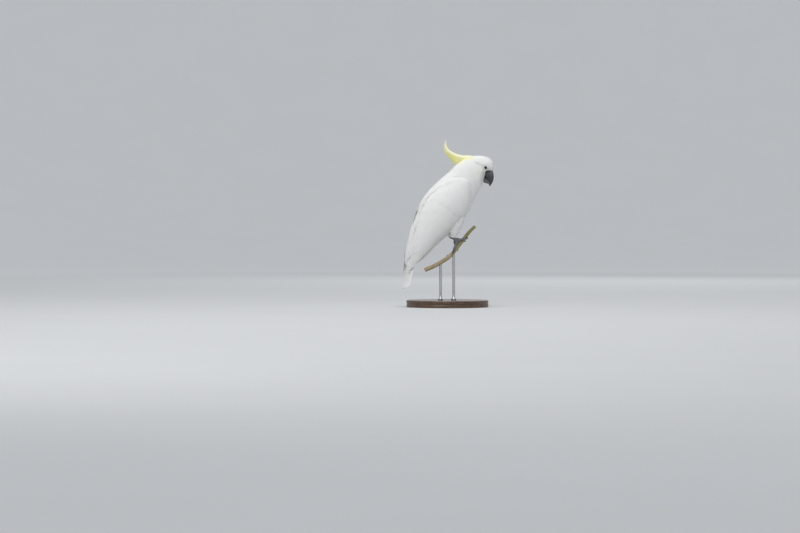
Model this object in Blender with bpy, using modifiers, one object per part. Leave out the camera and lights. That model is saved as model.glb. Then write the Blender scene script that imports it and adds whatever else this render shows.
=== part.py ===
"""A sulphur-crested cockatoo on a cut branch, held over a flat base by two rods: a still, life-size model.

Side-view sizes are (forward, height) in millimetres, measured on the mid plane. The bird looks along -Y, its left side is +X,
and the origin is the centre of the base's underside.
"""
import math

import bmesh
import bpy
from mathutils import Matrix, Vector

MM = 0.001
BASE_CENTRE = 22.0  # forward distance of the base's centre
GAP = 0.38  # distance kept between two pieces that touch

# ---- body stations: name, back line, belly line, half-width, how far the widest level drops ----
BODY = [
    ("brow", (157.0, 408.5), (156.2, 402.0), 5.5, 0.00),
    ("forehead", (153.8, 420.0), (152.6, 391.5), 14.0, 0.00),
    ("lore", (144.0, 430.0), (140.0, 380.0), 20.5, 0.08),
    ("eye_line", (128.0, 435.0), (129.0, 363.0), 26.0, 0.12),
    ("crown", (104.0, 436.0), (123.0, 350.0), 30.5, 0.12),
    ("hind_crown", (76.0, 431.0), (115.0, 337.0), 33.5, 0.10),
    ("nape", (50.0, 413.0), (107.0, 324.0), 36.5, 0.05),
    ("neck", (28.0, 388.0), (99.0, 307.0), 41.0, 0.00),
    ("shoulder", (2.0, 366.0), (91.0, 287.0), 45.0, 0.00),
    ("breast", (-28.0, 337.0), (78.0, 264.0), 48.0, 0.00),
    ("back", (-52.0, 306.0), (59.0, 241.0), 48.0, 0.00),
    ("belly", (-66.0, 270.0), (35.0, 218.0), 45.0, 0.00),
    ("flank", (-74.0, 231.0), (9.0, 196.0), 38.0, 0.00),
    ("rump", (-80.0, 194.0), (-18.0, 171.0), 30.0, 0.00),
    ("vent", (-84.0, 164.0), (-42.0, 147.0), 21.0, 0.00),
    ("tail_root", (-86.0, 142.0), (-62.0, 132.0), 13.0, 0.00),
    ("undertail", (-84.0, 131.0), (-74.0, 127.0), 5.0, 0.00),
]
FULLNESS = 0.88  # below 1 the cross-sections are squarer than an ellipse
HEAD_END, NECK_END = 5.45, 7.60  # where the head and the neck stop, counted in stations

# ---- outer surface of the folded wings, from the nape to the wing tips ----
MANTLE = [
    ("nape", (51.0, 414.5), (108.0, 323.0), 40.0, 0.0),
    ("neck", (28.0, 390.0), (101.0, 306.0), 46.0, 0.0),
    ("shoulder", (0.0, 369.0), (93.0, 285.0), 53.0, 0.0),
    ("breast", (-31.0, 341.0), (80.0, 262.0), 57.5, 0.0),
    ("back", (-56.0, 310.0), (60.0, 238.0), 59.5, 0.0),
    ("belly", (-72.0, 273.0), (36.0, 214.0), 58.0, 0.0),
    ("flank", (-81.0, 232.0), (10.0, 191.0), 53.0, 0.0),
    ("rump", (-90.5, 195.0), (-17.0, 164.0), 45.5, 0.0),
    ("vent", (-99.0, 163.0), (-40.0, 139.0), 38.0, 0.0),
    ("tail_root", (-105.5, 133.0), (-58.0, 116.0), 31.0, 0.0),
    ("tip", (-110.0, 104.0), (-78.0, 92.0), 25.0, 0.0),
    ("end", (-112.0, 88.0), (-90.0, 80.0), 21.0, 0.0),
]
# ---- folded wing: upper edge, lower edge, greatest thickness ----
WING = [
    ((73.0, 361.0), (75.0, 346.0), 8.0),
    ((60.0, 369.0), (78.5, 325.0), 13.0),
    ((32.0, 370.0), (76.0, 296.0), 16.0),
    ((1.0, 358.0), (65.0, 269.0), 17.0),
    ((-30.0, 333.0), (41.0, 243.0), 17.0),
    ((-53.0, 301.0), (14.0, 218.0), 16.0),
    ((-68.0, 266.0), (-11.0, 194.0), 14.0),
    ((-78.0, 228.0), (-35.0, 170.5), 11.0),
    ((-86.5, 193.0), (-57.0, 146.0), 8.0),
    ((-95.5, 158.0), (-77.0, 122.0), 5.5),
    ((-102.5, 126.0), (-92.0, 105.0), 3.6),
    ((-106.0, 104.0), (-101.5, 97.0), 2.4),
]
PRIMARY_START = 7.1  # station of the wing where the free primaries begin
WING_EDGE = 0.36  # thickness of an edge against the middle

# ---- tail: ridge line from root to tip ----
TAIL_RIDGE = [(-70.0, 188.0), (-80.5, 160.0), (-91.0, 126.0), (-101.5, 90.0), (-110.5, 52.0)]
TAIL_HALF = [13.0, 21.0, 27.0, 31.0, 33.0]
TAIL_DROP = [4.0, 8.0, 11.5, 13.0, 13.5]  # how far the sides fall forward of the ridge
TAIL_THICK = [5.0, 4.6, 4.0, 3.2, 2.0]
TAIL_ROUNDING = 9.0  # how much shorter the outermost feathers are

# ---- crest: upper edge, lower edge, half-width ----
CREST = [
    ((112.0, 431.0), (104.0, 424.0), 7.0),
    ((90.0, 437.0), (80.0, 424.0), 10.5),
    ((66.0, 438.5), (58.0, 416.0), 11.5),
    ((47.0, 444.0), (41.0, 416.5), 10.5),
    ((34.0, 450.5), (28.0, 430.0), 8.5),
    ((25.0, 458.5), (17.0, 443.0), 6.6),
    ((20.5, 468.0), (12.0, 458.0), 4.6),
    ((18.5, 477.0), (13.5, 473.0), 2.6),
    ((18.0, 482.0), (16.4, 482.0), 1.1),
]

# ---- bill: front line, back line, half-width ----
UPPER_BILL = [
    ((138.0, 404.0), (122.0, 399.0), 8.5),
    ((151.5, 398.5), (126.0, 390.0), 10.3),
    ((156.2, 389.0), (131.0, 379.0), 10.4),
    ((158.2, 378.5), (136.5, 370.5), 9.6),
    ((157.6, 368.0), (143.0, 365.5), 8.0),
    ((154.6, 359.0), (145.6, 359.5), 5.6),
    ((150.4, 352.0), (145.6, 353.6), 3.4),
    ((147.0, 347.6), (145.2, 348.6), 1.5),
]
LOWER_BILL = [
    ((113.0, 379.0), (117.0, 366.0), 9.0),
    ((124.0, 376.5), (125.0, 361.0), 10.6),
    ((132.0, 373.5), (132.0, 357.8), 10.4),
    ((138.5, 369.0), (138.5, 355.6), 9.0),
    ((142.5, 364.5), (143.0, 354.8), 7.0),
    ((144.6, 361.0), (145.4, 356.2), 4.6),
]

EYE_CENTRE = (128.5, 401.0)
EYE_OUT = 20.9  # distance of the eyeball's centre from the mid plane
EYE_RADIUS = 6.0
EYE_RINGS, EYE_AROUND = 7, 12

# ---- thigh: centre, depth radius, width radius, distance from the mid plane ----
THIGH = [
    ((50.0, 266.0), 14.0, 11.0, 25.0),
    ((48.0, 256.0), 19.0, 15.0, 25.0),
    ((44.0, 240.0), 18.5, 15.5, 25.0),
    ((40.0, 224.0), 15.0, 13.5, 24.0),
    ((37.0, 211.0), 11.0, 10.5, 23.5),
    ((35.6, 203.0), 7.6, 7.4, 23.5),
    ((35.0, 199.5), 5.4, 5.4, 23.5),
]

# ---- perch: forward, height, distance to the left of the mid plane ----
PERCH = [
    (-53.0, 108.0, -45.0),
    (-24.0, 119.5, -40.0),
    (10.0, 138.0, -34.0),
    (28.0, 152.0, -31.0),
    (40.0, 166.0, -28.8),
    (54.0, 183.0, -26.5),
    (68.0, 200.0, -24.2),
    (83.0, 217.5, -21.5),
    (99.0, 232.0, -18.0),
]
PERCH_RADIUS = [6.3, 5.9, 5.7, 5.5, 5.4, 5.4, 5.2, 4.8, 4.4]
SHOOT = [(36.0, 161.6, -29.8), (43.0, 171.0, -16.0), (51.0, 180.0, 2.0), (57.0, 185.5, 23.0), (61.0, 189.0, 42.0), (64.0, 193.0, 57.0)]
SHOOT_RADIUS = [3.6, 4.8, 5.0, 5.0, 4.8, 4.2]

# ---- stand ----
BASE_RADIUS = 118.0
BASE_HEIGHT = 20.0
BASE_BEVEL = 3.0
ROD_RADIUS = 4.0
COLLAR_HEIGHT = 6.0
RODS = {"stand_rod_rear": (-6.0, -37.0), "stand_rod_front": (34.0, -29.8)}  # forward, side

ANKLE = (35.2, 201.5)  # where both shanks leave the thighs
SHANK_RADIUS = 3.9
TOE_RADIUS = 3.3
TOE_REST = 0.15  # clearance of a toe over the round of the bark
CLAW_LENGTH = 12.5
CLAW_STEPS = 4


def place(forward, height, side=0.0):
    """A point of the model in metres."""
    return Vector((side * MM, (BASE_CENTRE - forward) * MM, height * MM))


def spline(values, t):
    """Catmull-Rom through a list of numbers or tuples, at t counted in list positions."""
    last = len(values) - 1
    i = min(max(int(math.floor(t)), 0), last - 1)
    f = t - i
    a, b, c, d = (values[min(max(i + k, 0), last)] for k in (-1, 0, 1, 2))

    def mix(p, q, r, s):
        return 0.5 * (2 * q + (r - p) * f + (2 * p - 5 * q + 4 * r - s) * f * f + (3 * q - p - 3 * r + s) * f ** 3)

    if isinstance(a, (tuple, list)):
        return tuple(mix(*v) for v in zip(a, b, c, d))
    return mix(a, b, c, d)


def column(table, k):
    return [row[k] for row in table]


def section(table, u, angle):
    """(forward, height, side) on a surface of stations; angle 0 is the back line and pi the belly line."""
    back, front = spline(column(table, 1), u), spline(column(table, 2), u)
    half, drop = spline(column(table, 3), u), spline(column(table, 4), u)
    c = math.cos(angle)
    f = 0.5 * (1 - c)
    side = half * math.copysign(abs(math.sin(angle)) ** FULLNESS, math.sin(angle)) * (1 + drop * (-c))
    return (back[0] + (front[0] - back[0]) * f, back[1] + (front[1] - back[1]) * f, side)


def mesh_object(name, points, faces, group):
    mesh = bpy.data.meshes.new(name)
    mesh.from_pydata([tuple(p) for p in points], [], faces)
    mesh.validate()
    obj = bpy.data.objects.new(name, mesh)
    group.objects.link(obj)
    tidy(obj)
    return obj


def tidy(obj):
    """Points all faces outwards."""
    bm = bmesh.new()
    bm.from_mesh(obj.data)
    bmesh.ops.recalc_face_normals(bm, faces=bm.faces)
    if bm.calc_volume(signed=True) < 0:
        bmesh.ops.reverse_faces(bm, faces=bm.faces)
    bm.to_mesh(obj.data)
    bm.free()


def loft(name, rings, group, round_ends=(0.0, 0.0)):
    """One closed body through rings of equal count, closed by a fan at each end."""
    count = len(rings[0])
    points = [p for ring in rings for p in ring]
    faces = []
    for i in range(len(rings) - 1):
        for j in range(count):
            k = (j + 1) % count
            faces.append((i * count + j, i * count + k, (i + 1) * count + k, (i + 1) * count + j))
    for end, out in ((0, round_ends[0]), (len(rings) - 1, round_ends[1])):
        ring = rings[end]
        centre = sum(ring, Vector()) / count
        inner = rings[1 if end == 0 else end - 1]
        away = centre - sum(inner, Vector()) / count
        if away.length > 0:
            centre = centre + away.normalized() * out * MM
        points.append(centre)
        for j in range(count):
            faces.append((end * count + j, end * count + (j + 1) % count, len(points) - 1))
    return mesh_object(name, points, faces, group)


def plate(name, face, back, group):
    """One closed body between two grids of points of the same shape."""
    rows, columns = len(face), len(face[0])
    points = [p for row in face for p in row] + [p for row in back for p in row]
    under = rows * columns
    faces = []
    for i in range(rows - 1):
        for j in range(columns - 1):
            a = i * columns + j
            faces.append((a, a + 1, a + columns + 1, a + columns))
            faces.append((under + a, under + a + columns, under + a + columns + 1, under + a + 1))
    for i in range(rows - 1):
        for j in (0, columns - 1):
            a = i * columns + j
            faces.append((a, a + columns, under + a + columns, under + a))
    for j in range(columns - 1):
        for i in (0, rows - 1):
            a = i * columns + j
            faces.append((a, a + 1, under + a + 1, under + a))
    return mesh_object(name, points, faces, group)


def body_piece(name, start, stop, rings, around, group, table=BODY, nose=0.0, tip=0.0):
    out = []
    for i in range(rings):
        u = start + (stop - start) * i / (rings - 1)
        out.append([place(*section(table, u, math.tau * j / around)) for j in range(around)])
    return loft(name, out, group, (nose, tip))


def blade(name, table, samples, around, group, side=0.0, power=1.0, start=0.0, tip=0.4):
    """A horn or bill: each ring spans its front and back points and its half-width."""
    rings = []
    last = len(table) - 1
    for i in range(samples):
        t = start + (last - start) * i / (samples - 1)
        front, back = spline(column(table, 0), t), spline(column(table, 1), t)
        half = spline(column(table, 2), t)
        ring = []
        for j in range(around):
            a = math.tau * j / around
            c, s = math.cos(a), math.sin(a)
            c = math.copysign(abs(c) ** power, c)
            f = 0.5 * (1 - c)
            ring.append(place(front[0] + (back[0] - front[0]) * f, front[1] + (back[1] - front[1]) * f, side + half * s))
        rings.append(ring)
    return loft(name, rings, group, (0.0, tip))


def tube(name, path, radii, resolution, group, samples=None):
    """A bar of changing radius: a curve with a round bevel through points in metres, radii in millimetres, made a closed mesh."""
    samples = samples or len(path)
    curve = bpy.data.curves.new(name + "_line", "CURVE")
    curve.dimensions = "3D"
    curve.bevel_depth = MM
    curve.bevel_resolution = resolution
    curve.use_fill_caps = True
    line = curve.splines.new("POLY")
    line.points.add(samples - 1)
    for i in range(samples):
        where = Vector(spline([tuple(p) for p in path], (len(path) - 1) * i / (samples - 1)))
        line.points[i].co = (*where, 1.0)
        line.points[i].radius = spline(list(radii), (len(radii) - 1) * i / (samples - 1))
    guide = bpy.data.objects.new(name + "_line", curve)
    group.objects.link(guide)
    bpy.context.view_layer.update()
    mesh = bpy.data.meshes.new_from_object(guide.evaluated_get(bpy.context.evaluated_depsgraph_get()))
    bpy.data.objects.remove(guide, do_unlink=True)
    bm = bmesh.new()
    bm.from_mesh(mesh)
    bmesh.ops.remove_doubles(bm, verts=bm.verts, dist=0.00002)
    bm.to_mesh(mesh)
    bm.free()
    obj = bpy.data.objects.new(name, mesh)
    group.objects.link(obj)
    tidy(obj)
    return obj


def bake(obj):
    """Replaces the mesh by its evaluated shape."""
    bpy.context.view_layer.update()
    graph = bpy.context.evaluated_depsgraph_get()
    mesh = bpy.data.meshes.new_from_object(obj.evaluated_get(graph))
    obj.modifiers.clear()
    obj.data = mesh


def boolean(obj, others, operation):
    for other in others:
        step = obj.modifiers.new(operation.lower(), "BOOLEAN")
        step.operation = operation
        step.object = other
        step.solver = "EXACT"
    bake(obj)


def primitive(name, centre, group, build):
    bm = bmesh.new()
    build(bm)
    mesh = bpy.data.meshes.new(name)
    bm.to_mesh(mesh)
    bm.free()
    for v in mesh.vertices:
        v.co += centre
    obj = bpy.data.objects.new(name, mesh)
    group.objects.link(obj)
    tidy(obj)
    return obj


def sphere(name, centre, radius, around, rings, group):
    """A ball whose poles lie across the body."""
    turn = Matrix.Rotation(math.pi / 2, 4, "Y")
    return primitive(name, centre, group, lambda bm: bmesh.ops.create_uvsphere(bm, u_segments=around, v_segments=rings, radius=radius * MM, matrix=turn))


def cylinder(name, centre, radius, height, around, group):
    return primitive(name, centre, group, lambda bm: bmesh.ops.create_cone(bm, cap_ends=True, segments=around, radius1=radius * MM, radius2=radius * MM, depth=height * MM))


def grown(obj, by=GAP):
    """A hidden copy of a body, swollen by a small distance, to cut its neighbours with."""
    mesh = obj.data.copy()
    normals = [v.normal.copy() for v in mesh.vertices]
    for v, n in zip(mesh.vertices, normals):
        v.co += n * by * MM
    copy = bpy.data.objects.new(obj.name + "_cutter", mesh)
    cutters.objects.link(copy)
    hide(copy)
    return copy


def hide(obj):
    obj.hide_render = True
    obj.display_type = "WIRE"


def mirrored(obj, name, group):
    mesh = obj.data.copy()
    for v in mesh.vertices:
        v.co.x = -v.co.x
    mesh.flip_normals()
    copy = bpy.data.objects.new(name, mesh)
    group.objects.link(copy)
    return copy


def material(name, colour, roughness, metallic=0.0):
    mat = bpy.data.materials.new(name)
    mat.use_nodes = True
    shader = mat.node_tree.nodes["Principled BSDF"]
    shader.inputs["Base Color"].default_value = (*colour, 1.0)
    shader.inputs["Roughness"].default_value = roughness
    shader.inputs["Metallic"].default_value = metallic
    return mat


def paint(obj, mat):
    obj.data.materials.clear()
    obj.data.materials.append(mat)


def on_mantle(point):
    """(station, angle) on the outer wing surface of a side-view point."""
    def side_of(u):
        back, front = spline(column(MANTLE, 1), u), spline(column(MANTLE, 2), u)
        return (front[0] - back[0]) * (point[1] - back[1]) - (front[1] - back[1]) * (point[0] - back[0])

    low, high = -0.5, len(MANTLE) - 1.0
    start = side_of(low)
    for _ in range(50):
        middle = 0.5 * (low + high)
        if side_of(middle) * start > 0:
            low = middle
        else:
            high = middle
    u = 0.5 * (low + high)
    back, front = spline(column(MANTLE, 1), u), spline(column(MANTLE, 2), u)
    span = (front[0] - back[0]) ** 2 + (front[1] - back[1]) ** 2
    f = ((point[0] - back[0]) * (front[0] - back[0]) + (point[1] - back[1]) * (front[1] - back[1])) / span
    return u, math.acos(max(-0.999, min(0.999, 1 - 2 * f)))


def mantle_point(u, angle):
    return place(*section(MANTLE, u, angle))


def wing(name, start, stop, rings, across, group, sink=0.0):
    """A folded wing's stretch: a curved plate whose outer face is the mantle."""
    edges = [(on_mantle(upper), on_mantle(lower)) for upper, lower, _ in WING]
    face, back = [], []
    for i in range(rings):
        s = start + (stop - start) * i / (rings - 1)
        top, low = spline([e[0] for e in edges], s), spline([e[1] for e in edges], s)
        depth = spline(column(WING, 2), s)
        outer, inner = [], []
        for j in range(across + 1):
            t = j / across
            u, angle = top[0] + (low[0] - top[0]) * t, top[1] + (low[1] - top[1]) * t
            p = mantle_point(u, angle)
            n = (mantle_point(u + 0.02, angle) - mantle_point(u - 0.02, angle)).cross(mantle_point(u, angle + 0.02) - mantle_point(u, angle - 0.02)).normalized()
            if n.x < 0:
                n = -n
            swell = math.sin(math.pi * t)
            lift = 0.5 * depth * (1 - WING_EDGE) * (1 - swell ** 0.5) * 0.35
            outer.append(p - n * (lift + sink) * MM)
            inner.append(p - n * (lift + sink + depth * (WING_EDGE + (1 - WING_EDGE) * swell)) * MM)
        face.append(outer)
        back.append(inner)
    return plate(name, face, back, group)


def bar_frame(points, radii, at, out_hint):
    """Centre, axis, outward and sideways directions and radius of a curved bar at a list position."""
    centre = Vector(spline([tuple(p) for p in points], at))
    axis = (Vector(spline([tuple(p) for p in points], at + 0.1)) - Vector(spline([tuple(p) for p in points], at - 0.1))).normalized()
    out = (out_hint - axis * out_hint.dot(axis)).normalized()
    return centre, axis, out, axis.cross(out).normalized(), spline(list(radii), at)


def toe_path(points, radii, at, out_hint, steps, turns, alongs, radius, lift):
    """Points along a toe that winds round a bar: start and end turn in degrees, start and end along in millimetres."""
    near, far = Vector(spline([tuple(p) for p in points], at - 0.5)), Vector(spline([tuple(p) for p in points], at + 0.5))
    per_position = (far - near).length / MM
    path = []
    for i in range(steps):
        t = i / (steps - 1)
        along = alongs[0] + (alongs[1] - alongs[0]) * t
        centre, axis, out, across, bar = bar_frame(points, radii, at + along / per_position, out_hint)
        angle = math.radians(turns[0] + (turns[1] - turns[0]) * t)
        reach = bar + radius * (1 - 0.2 * t) + TOE_REST + lift * (1 - t) ** 2
        path.append(centre + (out * math.cos(angle) + across * math.sin(angle)) * reach * MM)
    return path, out * math.cos(angle) + across * math.sin(angle)


def foot(side_name, bar_cutter, bar_points, bar_radii, at, out_hint, toes, knee):
    """Shank, foot and claws on a bar. Each toe is (name, turns, alongs, claw turn)."""
    points = [place(*p) for p in bar_points]
    origin, axis, out, across, bar = bar_frame(points, bar_radii, at, out_hint)
    hub = origin + out * (bar + 5.2) * MM
    shank = tube(f"foot_{side_name}", [knee, knee.lerp(hub, 0.5) + out * 0.6 * MM, hub + out * 1.2 * MM, hub - out * 1.2 * MM], [SHANK_RADIUS, SHANK_RADIUS * 0.94, SHANK_RADIUS * 1.15, SHANK_RADIUS * 0.9], 3, parts, 6)
    pieces, claws = [], []
    for toe_name, turns, alongs, claw_turn in toes:
        steps = 8
        path, outward = toe_path(points, bar_radii, at, out_hint, steps, turns, alongs, TOE_RADIUS, 1.6)
        widths = [TOE_RADIUS * w for w in (1.12, 1.06, 0.98, 1.0, 0.92, 0.94, 0.86, 0.74)]
        pieces.append(tube(f"toe_{toe_name}_{side_name}", path, widths, 2, cutters))
        hide(pieces[-1])
        start_point = path[-1]
        along_dir = (path[-1] - path[-2]).normalized()
        claw_path = []
        for k in range(CLAW_STEPS):
            t = k / (CLAW_STEPS - 1)
            bend = math.radians(claw_turn) * t
            forward_dir = along_dir * math.cos(bend) - outward * math.sin(bend)
            claw_path.append(forward_dir)
        here = start_point + along_dir * GAP * MM + outward * 0.3 * MM
        stops = [here]
        for k in range(CLAW_STEPS - 1):
            here = here + claw_path[k] * CLAW_LENGTH / (CLAW_STEPS - 1) * MM
            stops.append(here)
        claws.append(tube(f"claw_{toe_name}_{side_name}", stops, [2.1, 1.75, 1.1, 0.45], 1, parts))
    boolean(shank, pieces, "UNION")
    boolean(shank, [bar_cutter], "DIFFERENCE")
    for claw in claws:
        boolean(claw, [grown(shank), bar_cutter], "DIFFERENCE")
    return shank, claws


# ---------------------------------------------------------------- scene
for old in list(bpy.data.objects):
    bpy.data.objects.remove(old, do_unlink=True)
bpy.context.scene.unit_settings.system = "METRIC"
bpy.context.scene.unit_settings.scale_length = 1.0
parts = bpy.data.collections.new("cockatoo")
cutters = bpy.data.collections.new("cutters")
bpy.context.scene.collection.children.link(parts)
bpy.context.scene.collection.children.link(cutters)

# ---------------------------------------------------------------- body
PART_GAP = 0.030
AROUND = 24
last_station = len(BODY) - 1
head = body_piece("head", 0.0, HEAD_END - PART_GAP, 15, AROUND, parts, nose=1.0)
neck = body_piece("neck", HEAD_END, NECK_END - PART_GAP, 6, AROUND, parts)
trunk = body_piece("trunk", NECK_END, last_station, 18, AROUND, parts, tip=2.0)

# ---------------------------------------------------------------- bill and eyes
upper_bill = blade("bill_upper", UPPER_BILL, 13, 14, parts, power=0.95)
lower_bill = blade("bill_lower", LOWER_BILL, 8, 14, parts, power=0.9)
eyes = []
for side_name, side in (("right", -1), ("left", 1)):
    eyes.append(sphere(f"eye_{side_name}", place(*EYE_CENTRE, side * EYE_OUT), EYE_RADIUS, EYE_AROUND, EYE_RINGS, parts))
boolean(head, [grown(e) for e in eyes], "DIFFERENCE")
crest = blade("crest", CREST, 15, 12, parts, power=0.9)
boolean(crest, [grown(head), grown(neck)], "DIFFERENCE")
boolean(upper_bill, [grown(head)], "DIFFERENCE")
boolean(lower_bill, [grown(head), grown(upper_bill)], "DIFFERENCE")

# ---------------------------------------------------------------- tail
tail_top, tail_under = [], []
TAIL_STEPS, TAIL_ACROSS = 12, 10
for i in range(TAIL_STEPS):
    t = (len(TAIL_RIDGE) - 1) * i / (TAIL_STEPS - 1)
    half, drop, thick = spline(TAIL_HALF, t), spline(TAIL_DROP, t), spline(TAIL_THICK, t)
    ridge, nearby = Vector(spline(TAIL_RIDGE, t)), Vector(spline(TAIL_RIDGE, t + 0.01 if i == 0 else t - 0.01))
    along = (nearby - ridge if i == 0 else ridge - nearby).normalized()
    front = Vector((-along.y, along.x))
    if front.x < 0:
        front = -front
    shorten = TAIL_ROUNDING * (i / (TAIL_STEPS - 1)) ** 3
    top, under = [], []
    for j in range(TAIL_ACROSS + 1):
        w = -1 + 2 * j / TAIL_ACROSS
        p = ridge + front * (drop * w * w) - along * (shorten * w * w)
        edge = 1 - 0.55 * w * w
        q = p + front * (thick * edge)
        top.append(place(p.x, p.y, half * w))
        under.append(place(q.x, q.y, half * w * 0.985))
    tail_top.append(top)
    tail_under.append(under)
tail = plate("tail", tail_top, tail_under, parts)
boolean(tail, [grown(trunk)], "DIFFERENCE")

# ---------------------------------------------------------------- wings
last_wing = len(WING) - 1
wing_left = wing("wing_left", 0.0, PRIMARY_START - 0.02, 12, 8, parts)
primaries_left = wing("primaries_left", PRIMARY_START, last_wing, 7, 6, parts, 0.5)
trunk_cutter, neck_cutter, tail_cutter = grown(trunk), grown(neck), grown(tail)
boolean(wing_left, [trunk_cutter, neck_cutter, tail_cutter], "DIFFERENCE")
boolean(primaries_left, [trunk_cutter, tail_cutter, grown(wing_left)], "DIFFERENCE")
wing_right = mirrored(wing_left, "wing_right", parts)
primaries_right = mirrored(primaries_left, "primaries_right", parts)

# ---------------------------------------------------------------- thighs
def thigh(name, side, rings=11, around=14):
    out = []
    for i in range(rings):
        t = (len(THIGH) - 1) * i / (rings - 1)
        centre, deep, wide, away = (spline(column(THIGH, k), t) for k in range(4))
        out.append([place(centre[0] + deep * math.cos(math.tau * j / around), centre[1], side * (away + wide * math.sin(math.tau * j / around))) for j in range(around)])
    return loft(name, out, parts, (3.0, 0.0))


thigh_left = thigh("thigh_left", 1)
boolean(thigh_left, [trunk_cutter, grown(wing_left)], "DIFFERENCE")
thigh_right = mirrored(thigh_left, "thigh_right", parts)

# ---------------------------------------------------------------- perch, feet
perch = tube("perch", [place(*p) for p in PERCH], PERCH_RADIUS, 4, parts, 15)
shoot = tube("shoot", [place(*p) for p in SHOOT], SHOOT_RADIUS, 3, cutters, 8)
hide(shoot)
boolean(perch, [shoot], "UNION")
perch_cutter = grown(perch)

RIGHT_TOES = [
    ("inner_front", (-14.0, -116.0), (1.6, 12.0), 84.0),
    ("outer_front", (12.0, 124.0), (2.2, 21.0), 88.0),
    ("inner_rear", (-16.0, -112.0), (-2.0, -15.0), 72.0),
    ("outer_rear", (9.0, 62.0), (-2.4, -32.0), 48.0),
]
LEFT_TOES = [
    ("inner_front", (18.0, 122.0), (-1.6, -9.0), 80.0),
    ("outer_front", (15.0, 116.0), (2.0, 12.5), 76.0),
    ("inner_rear", (-15.0, -84.0), (-1.4, -8.5), 66.0),
    ("outer_rear", (-18.0, -92.0), (1.6, 8.0), 66.0),
]
foot_right, claws_right = foot("right", perch_cutter, PERCH, PERCH_RADIUS, 5.0, Vector((0.10, 0.78, 0.62)), RIGHT_TOES, place(ANKLE[0], ANKLE[1], -23.5))
foot_left, claws_left = foot("left", perch_cutter, SHOOT, SHOOT_RADIUS, 3.0, Vector((0.0, 0.55, 0.84)), LEFT_TOES, place(ANKLE[0], ANKLE[1], 23.5))
boolean(foot_right, [grown(thigh_right)], "DIFFERENCE")
boolean(foot_left, [grown(thigh_left)], "DIFFERENCE")

# ---------------------------------------------------------------- stand
stand_base = cylinder("stand_base", Vector((0, 0, BASE_HEIGHT / 2 * MM)), BASE_RADIUS, BASE_HEIGHT, 44, parts)
edge = stand_base.modifiers.new("rounded edge", "BEVEL")
edge.width = BASE_BEVEL * MM
edge.segments = 2
edge.limit_method = "ANGLE"
edge.angle_limit = math.radians(50)
rods = []
for name, (forward, side) in RODS.items():
    top = 158.0 if "front" in name else 132.0
    foot_height = BASE_HEIGHT + GAP * 0.8
    rod = cylinder(name, place(forward, (foot_height + top) / 2, side), ROD_RADIUS, top - foot_height, 14, parts)
    collar = cylinder(name + "_collar", place(forward, foot_height + COLLAR_HEIGHT / 2, side), ROD_RADIUS * 1.9, COLLAR_HEIGHT, 14, cutters)
    hide(collar)
    boolean(rod, [collar], "UNION")
    boolean(rod, [perch_cutter], "DIFFERENCE")
    rods.append(rod)

# ---------------------------------------------------------------- colours
plumage = (0.86, 0.86, 0.83)
for obj, mat in (
    (head, material("head_plumage", plumage, 0.8)),
    (neck, material("neck_plumage", plumage, 0.8)),
    (trunk, material("trunk_plumage", plumage, 0.8)),
    (tail, material("tail_plumage", plumage, 0.75)),
    (crest, material("crest_plumage", (0.88, 0.80, 0.30), 0.75)),
    (upper_bill, material("upper_bill_horn", (0.07, 0.07, 0.08), 0.5)),
    (lower_bill, material("lower_bill_horn", (0.08, 0.08, 0.09), 0.5)),
    (wing_left, material("left_wing_plumage", plumage, 0.75)),
    (wing_right, material("right_wing_plumage", plumage, 0.75)),
    (primaries_left, material("left_primary_plumage", plumage, 0.7)),
    (primaries_right, material("right_primary_plumage", plumage, 0.7)),
    (thigh_left, material("left_thigh_plumage", plumage, 0.8)),
    (thigh_right, material("right_thigh_plumage", plumage, 0.8)),
    (foot_left, material("left_foot_skin", (0.16, 0.16, 0.17), 0.7)),
    (foot_right, material("right_foot_skin", (0.16, 0.16, 0.17), 0.7)),
    (perch, material("perch_bark", (0.36, 0.27, 0.13), 0.85)),
    (stand_base, material("base_wood", (0.10, 0.06, 0.04), 0.45)),
):
    paint(obj, mat)
for obj, side_name in zip(eyes, ("right", "left")):
    paint(obj, material(f"{side_name}_eye", (0.012, 0.009, 0.008), 0.08))
for side_name, claws in (("right", claws_right), ("left", claws_left)):
    for claw in claws:
        paint(claw, material(claw.name + "_horn", (0.05, 0.05, 0.055), 0.4))
for rod in rods:
    paint(rod, material(rod.name + "_steel", (0.55, 0.55, 0.56), 0.35, 1.0))
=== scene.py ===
import math

import bpy
import numpy as np
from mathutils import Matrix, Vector, noise
from mathutils.bvhtree import BVHTree
from mathutils.kdtree import KDTree


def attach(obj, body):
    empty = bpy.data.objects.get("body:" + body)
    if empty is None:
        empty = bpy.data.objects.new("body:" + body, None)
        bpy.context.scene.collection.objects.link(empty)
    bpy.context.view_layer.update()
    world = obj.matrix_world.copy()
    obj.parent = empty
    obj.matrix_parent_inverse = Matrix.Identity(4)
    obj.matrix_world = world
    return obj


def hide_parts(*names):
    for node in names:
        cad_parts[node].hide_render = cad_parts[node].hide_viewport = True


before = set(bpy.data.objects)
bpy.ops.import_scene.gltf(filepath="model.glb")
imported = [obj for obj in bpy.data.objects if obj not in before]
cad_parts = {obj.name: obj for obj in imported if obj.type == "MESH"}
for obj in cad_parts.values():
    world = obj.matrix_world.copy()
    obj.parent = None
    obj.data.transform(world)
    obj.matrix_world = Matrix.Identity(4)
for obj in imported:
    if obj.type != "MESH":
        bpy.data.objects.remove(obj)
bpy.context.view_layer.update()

MM = 0.001
BASE_CENTRE = 22.0

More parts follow.
